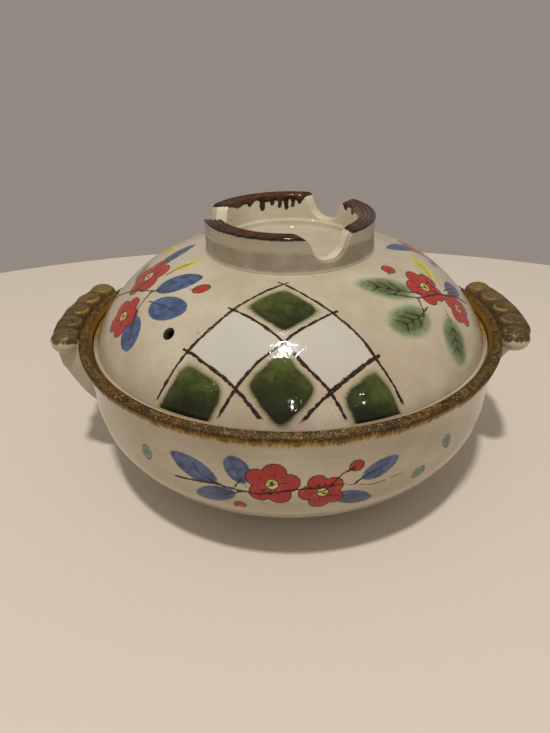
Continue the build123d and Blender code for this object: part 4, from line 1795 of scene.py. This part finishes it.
@dataclass
class RingKnob:
    """The lid's grip: a ring with three rounded notches and three turned grooves in its top."""

    seat: float
    """Height of the ring's seat on the lid."""
    radius: float = 50.7
    height: float = 20.4
    wall: float = 9.5
    flare: float = 0.4
    notches: int = 3
    notch_azimuth: float = -64.0
    notch_depth: float = 14.4
    notch_top: float = 27.0
    notch_floor: float = 15.0
    grooves: int = 3
    groove_pitch: float = 2.6
    groove_depth: float = 0.75
    groove_half: float = 0.55
    glaze_depth: float = 1.5
    """How far the dark glaze comes down the outside."""
    dark_fade: Pair = (-0.15, 0.25)
    """Where that glaze starts and is full, in millimetres inside its edge."""
    edge_pool: Pair = (2.2, 0.5)
    """Where it starts to gather, and is deepest, counted likewise."""
    pool_strength: float = 0.95
    groove_pool: Pair = (0.9, 0.2)
    """How far from a groove's middle it starts to gather, and is deepest."""
    grey_height: float = 11.6
    grey_stray: float = 1.2
    grey_fade: float = 0.6
    grey_foot: Pair = (1.0, 1.8)
    """How far above the seat the grey slip starts and is full."""
    waver_mm: float = 14.0
    ragged_mm: float = 1.8
    ragged_stray: float = 0.35
    greige: str = "#85795f"
    """Tint of the cream glaze on the outside."""
    greige_strength: float = 0.6
    outer_share: float = 0.35
    """Share of the wall's thickness, from the outside, that counts as the outside."""
    steps: int = 256
    grain: float = 0.5
    kneading: int = 5

    BEAD = 0.9
    """How far the bead of slip at the foot stands out, and the heights at which it starts to narrow and ends."""
    BEAD_OUTSIDE = (0.7, 1.7)
    BEAD_INSIDE = (3.9, 4.9)
    NOTCH_BRIM = 5.0
    """How far a notch's cutter goes past its shoulders, above the top, and through the wall, in walls."""
    NOTCH_OVER = 8.0
    NOTCH_SPARE = 1.2
    NOTCH_ROUNDS = ((6.2, 8), (4.2, 6))
    """Radius and pieces of the rounding at a notch's floor and at its shoulders."""
    NOTCH_FADE = 3.0
    TOP_DEPTH = 1.1
    """How far below the top the grooves start, and over what height they come in."""
    TOP_FADE = 0.8
    INNER_EDGE = 0.9
    """How far the dark glaze comes down inside the ring in a notch, and how much further beside it."""
    INNER_MORE = 2.6
    MELT = 2.0
    """How sharply a drip leaves the glaze's edge."""
    drips: tuple[tuple[float, float, float], ...] = (
        (128.0, 5.6, 1.7), (115.6, 9.4, 1.9), (106.0, 6.6, 1.4), (99.0, 8.6, 1.3), (93.0, 9.6, 1.5),
        (87.0, 8.2, 1.3), (81.0, 6.0, 1.3), (31.0, 5.2, 1.5), (20.0, 6.0, 1.6), (5.0, 5.0, 1.6),
        (-20.0, 5.6, 1.7), (-95.0, 5.0, 1.6), (-112.0, 5.8, 1.5), (-135.0, 5.2, 1.8), (-152.0, 6.0, 1.5),
    )
    """Drips on the inside: direction round the ring, how far down they end, and half width."""
    waves: tuple[tuple[float, int, float], ...] = ((0.6, 11, 0.0), (0.5, 23, 40.0))
    """Waves in the glaze's edge between the drips: height, how many round the ring, and shift in degrees."""

    @property
    def top(self) -> float:
        """Height of the ring's top."""
        return self.seat + self.height

    def groove_spots(self) -> list[float]:
        """Distances of the grooves from the axis, in millimetres."""
        middle = self.radius - self.wall / 2
        return [middle + self.groove_pitch * (k - (self.grooves - 1) / 2) for k in range(self.grooves)]

    def notch(self, azimuth: float) -> Object:
        """A cutter for one notch: a rounded U, extruded through the wall."""
        shape = bmesh.new()
        brim = -self.notch_top / 2 - self.NOTCH_BRIM
        rows = [(brim, self.NOTCH_OVER), (brim, 0.0)]
        rows += [(-self.notch_top / 2, 0.0), (-self.notch_floor / 2, -self.notch_depth)]
        outline = rows + [(-y, z) for y, z in reversed(rows)]
        inner, depth = self.radius - (1 + self.NOTCH_SPARE) * self.wall, (2 + self.NOTCH_SPARE) * self.wall
        verts = [shape.verts.new((inner, y, self.top + z)) for y, z in outline]
        face = shape.faces.new(verts)
        floor = [v for v in verts if v.co.z < self.top - 1]
        shoulders = [verts[2], verts[5]]
        pushed = bmesh.ops.extrude_face_region(shape, geom=[face])
        bmesh.ops.translate(shape, vec=(depth, 0, 0), verts=verts_of(pushed))
        for group, (size, parts) in zip((floor, shoulders), self.NOTCH_ROUNDS):
            spots = [(v.co.y, v.co.z) for v in group]
            long_edges = [
                e for e in shape.edges
                if abs(e.verts[0].co.x - e.verts[1].co.x) > 1
                and any(math.dist((e.verts[0].co.y, e.verts[0].co.z), s) < 0.01 for s in spots)
            ]
            bmesh.ops.bevel(shape, geom=long_edges, offset=size, offset_type="OFFSET", affect="EDGES",
                            segments=parts, profile=0.5, material=-1)
        bmesh.ops.rotate(shape, verts=shape.verts, cent=(0, 0, 0), matrix=turn_z(azimuth, 3))
        return finish_mesh(shape, "notch")

    def build(self) -> Object:
        """Turns the ring, cuts its notches, softens it and turns its grooves."""
        foot = self.radius - self.flare
        bore = foot - self.wall
        bead, outer, inner = self.BEAD, self.BEAD_OUTSIDE, self.BEAD_INSIDE
        section = Section()
        for point in (
            (bore - bead, self.seat), (foot + bead, self.seat), (foot + bead, self.seat + outer[0]),
            (foot, self.seat + outer[1]), (self.radius, self.top), (self.radius - self.wall, self.top),
            (bore, self.seat + inner[1]), (bore - bead, self.seat + inner[0]),
        ):
            section.line(point, UNDIVIDED)
        section.points.append(section.points[0])
        ring = finish_mesh(throw(section, self.steps), "donabe_ring_knob")
        carve(ring, [self.notch(self.notch_azimuth + 360 * k / self.notches) for k in range(self.notches)])
        knead(ring, self.grain, self.kneading)
        xyz = places(ring)
        _, reach = round_axis(xyz)
        level = np.clip((xyz[:, 2] - (self.top - self.TOP_DEPTH)) / self.TOP_FADE, 0.0, 1.0)
        for spot in self.groove_spots():
            xyz[:, 2] -= self.groove_depth * np.exp(-(((reach - spot) / self.groove_half) ** 2)) * level
        set_places(ring, xyz)
        mark(ring, POUR, self.pour(xyz))
        return ring

    def pour(self, xyz: np.ndarray) -> np.ndarray:
        """How far inside the dark glaze's edge each vertex lies: more inside the ring, where it drips.

        Args:
            xyz: the ring's vertices, in millimetres.

        Returns:
            Millimetres inside the glaze, negative outside it.
        """
        down = self.top - xyz[:, 2]
        azimuth, reach = round_axis(xyz)
        pitch = 360.0 / self.notches
        notch = np.abs((azimuth - self.notch_azimuth + pitch / 2) % pitch - pitch / 2)
        cut = np.clip((notch * np.pi / 180 * reach - self.notch_top / 2) / self.NOTCH_FADE, 0.0, 1.0)
        wave = sum(height * np.sin(np.radians(azimuth * count + shift)) for height, count, shift in self.waves)
        inner = self.INNER_EDGE + (self.INNER_MORE + wave) * cut - down
        for direction, length, half in self.drips:
            aside = np.radians((azimuth - direction + 180.0) % 360.0 - 180.0) * reach
            capsule = half - np.hypot(aside, np.maximum(down - length + half, 0.0))
            inner = np.logaddexp(inner * self.MELT, capsule * self.MELT) / self.MELT
        outer = self.glaze_depth - down
        share = np.clip((reach - (self.radius - self.wall * 0.45)) / 1.5, 0.0, 1.0)
        return np.clip(inner * (1 - share) + outer * share, -Brushwork.FAR, Brushwork.FAR)

    def glaze(self) -> bpy.types.Material:
        """Tenmoku on top that drips inside, a cream band, and grey slip round the foot."""
        spot = Recipe.glaze("stoneware_tenmoku_poured_over_ash_glaze").place()
        reach, up = spot.flat().size(), spot.along("Z")
        coat = CrackleGlaze(thick="#cdc3ad", thin="#bdb198").coat(spot)
        outer = reach > self.radius - self.wall * self.outer_share
        line = self.seat + self.grey_height
        grey = up + spot.noise(self.waver_mm, 3.0).swing(-self.grey_stray, self.grey_stray)
        grey = grey.spread(line + self.grey_fade, line - self.grey_fade)
        grey = grey * up.spread(*(self.seat + above for above in self.grey_foot)) * outer
        coat.stain(outer * self.greige_strength, self.greige)
        coat = coat.under(AshGreySlip().coat(spot), grey)
        ragged = spot.noise(self.ragged_mm, 3.0, 0.6).swing(-self.ragged_stray, self.ragged_stray)
        left = spot.recipe.read(POUR) + ragged
        depth = left.spread(*self.edge_pool, 0.0, self.pool_strength)
        for groove in self.groove_spots():
            depth = depth.most(abs(reach - groove).spread(*self.groove_pool))
        return coat.under(TenmokuGlaze().coat(spot, depth), left.spread(*self.dark_fade)).fire()


# The studio


@dataclass
class Studio:
    """A pale round table top, a soft lamp overhead and the camera at the photograph's place, in metres."""

    table_radius: float = 0.78
    table_centre: float = -0.36
    table_thickness_mm: float = 12.0
    table_colour: str = "#cec2b3"
    thread_colour: str = "#bbafa0"
    thread_show: float = 0.12
    weave: tuple[float, float, float] = (0.35, 2.0, 1.0)
    """Scale, distortion and detail of the cloth's bands."""
    cloth_roughness: float = 0.9
    cloth_relief: float = 0.05
    wall_colour: str = "#928981"
    lamp_place: tuple[float, float, float] = (-0.06, -0.62, 1.75)
    lamp_size: float = 0.12
    lamp_power: float = 22.0
    lamp_colour: str = "#fffdf9"
    lamp_aim: tuple[float, float, float] = (0.0, 0.0, 0.08)
    spots: tuple[tuple[float, float], ...] = ((-48.8, 34.9), (0.8, 32.0), (43.4, 26.1))
    """Far small lamps that only show as glints: degrees from the front, and degrees up."""
    spot_middle: tuple[float, float, float] = (0.0, -0.1, 0.1)
    spot_distance: float = 2.2
    spot_size: float = 0.05
    spot_power: float = 0.5
    sky_colour: str = "#fff9f0"
    sky_strength: float = 0.46
    camera_place: tuple[float, float, float] = (0.0, -0.34765, 0.26083)
    camera_yaw: float = -0.002818
    camera_tilt: float = 0.525019
    camera_roll: float = -0.006963
    focal_px: float = 590.0
    middle_px: float = 289.0
    frame_px: tuple[int, int] = (550, 733)

    def table(self) -> None:
        """Lays the table top under the pot."""
        shape = bmesh.new()
        bmesh.ops.create_circle(shape, cap_ends=True, segments=128, radius=self.table_radius / MM)
        bmesh.ops.translate(shape, vec=(0, self.table_centre / MM, 0), verts=shape.verts)
        face = bmesh.ops.extrude_face_region(shape, geom=shape.faces[:])
        bmesh.ops.translate(shape, vec=(0, 0, -self.table_thickness_mm), verts=verts_of(face))
        top = finish_mesh(shape, "table_top")
        top.data.shade_flat()
        spot = Recipe.glaze("cotton_tablecloth_woven").place()
        weave = spot.recipe.add("TexWave", spot, *self.weave, wave_type="BANDS", bands_direction="DIAGONAL")
        tone = weave.spread(0.0, 1.0, 0.0, self.thread_show).blend(self.table_colour, self.thread_colour)
        top.data.materials.append(Coat(tone, self.cloth_roughness, weave * self.cloth_relief).fire())

    def sky(self) -> None:
        """Soft light from all round, and a plain grey wall for the eye and for reflections."""
        recipe = Recipe(bpy.data.worlds.new("soft_room"))
        add = recipe.add
        bpy.context.scene.world = recipe.owner
        path = add("LightPath")
        seen = path["Is Camera Ray"].most(path["Is Glossy Ray"]).most(path["Is Transmission Ray"])
        glow = add("Background", self.sky_colour, self.sky_strength)
        wall = add("Background", self.wall_colour, 1.0)
        add("OutputWorld", add("MixShader", seen, glow, wall))

    def lamp(self, name: str, place: Sequence[float], size: float, power: float) -> None:
        """Hangs a round lamp that looks at the pot."""
        light = bpy.data.lights.new(name, "AREA")
        light.shape = "DISK"
        light.size = size
        light.energy = power
        light.color = srgb(self.lamp_colour)[:3]
        lamp = bpy.data.objects.new(name, light)
        lamp.location = place
        towards = Vector(self.lamp_aim) - Vector(place)
        lamp.rotation_euler = towards.to_track_quat("-Z", "Y").to_euler()
        bpy.context.scene.collection.objects.link(lamp)

    def camera(self) -> None:
        """Sets up the camera that the photograph was taken with."""
        yaw, tilt, roll = self.camera_yaw, self.camera_tilt, self.camera_roll
        ahead = Vector((math.sin(yaw) * math.cos(tilt), math.cos(yaw) * math.cos(tilt), -math.sin(tilt)))
        level = Vector((math.cos(yaw), -math.sin(yaw), 0))
        upright = level.cross(ahead)
        right = level * math.cos(roll) + upright * math.sin(roll)
        up = upright * math.cos(roll) - level * math.sin(roll)
        lens = bpy.data.cameras.new("camera")
        tall = self.frame_px[1]
        lens.sensor_width = 36.0
        lens.lens = self.focal_px / tall * lens.sensor_width
        lens.shift_x = (self.frame_px[0] / 2 - self.middle_px) / tall
        lens.clip_start = 0.01
        camera = bpy.data.objects.new("camera", lens)
        turned = Matrix((right, up, -ahead)).transposed().to_4x4()
        camera.matrix_world = Matrix.Translation(self.camera_place) @ turned
        bpy.context.scene.collection.objects.link(camera)
        bpy.context.scene.camera = camera

    def build(self) -> None:
        """Sets up everything round the pot."""
        bpy.context.scene.view_settings.view_transform = "Standard"
        self.table()
        self.sky()
        self.lamp("overhead_lamp", self.lamp_place, self.lamp_size, self.lamp_power)
        for k, (aside, up) in enumerate(self.spots):
            turn, rise = math.radians(aside), math.radians(up)
            way = Vector((math.sin(turn) * math.cos(rise), -math.cos(turn) * math.cos(rise), math.sin(rise)))
            place = way * self.spot_distance + Vector(self.spot_middle)
            self.lamp(f"room_spot_{k}", place, self.spot_size, self.spot_power)
        self.camera()


def dress(piece: Object, glaze: bpy.types.Material, node: str, body: Body) -> None:
    """Gives a piece its glaze and puts it in the place of its CAD node.

    Args:
        piece: the finished piece.
        glaze: its material.
        node: the CAD node that it stands for.
        body: the CAD body that it rides on.
    """
    piece.data.materials.clear()
    piece.data.materials.append(glaze)
    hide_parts(node)
    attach(piece, body.value)
    log.info("%s: %d faces, stands for %s", piece.name, len(piece.data.polygons), node)


def main() -> None:
    """Builds the pot piece by piece, then the studio round it."""
    logging.basicConfig(level=logging.INFO, format="%(relativeCreated)6d ms  %(message)s")
    rim = RimSizes()
    bowl = Bowl(rim)
    dress(bowl.build(), bowl.glaze(), "bowl", Body.POT)
    for side in Side:
        handle = Handle(side, rim)
        dress(handle.build(), handle.glaze(), f"handle_{side.name.lower()}", Body.POT)
    lid = Lid(rim)
    dress(lid.build(), lid.glaze(), "lid", Body.LID)
    low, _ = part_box("ring_knob")
    knob = RingKnob(seat=low.z / MM)
    dress(knob.build(), knob.glaze(), "ring_knob", Body.LID)
    Studio().build()


if __name__ == "__main__":
    main()
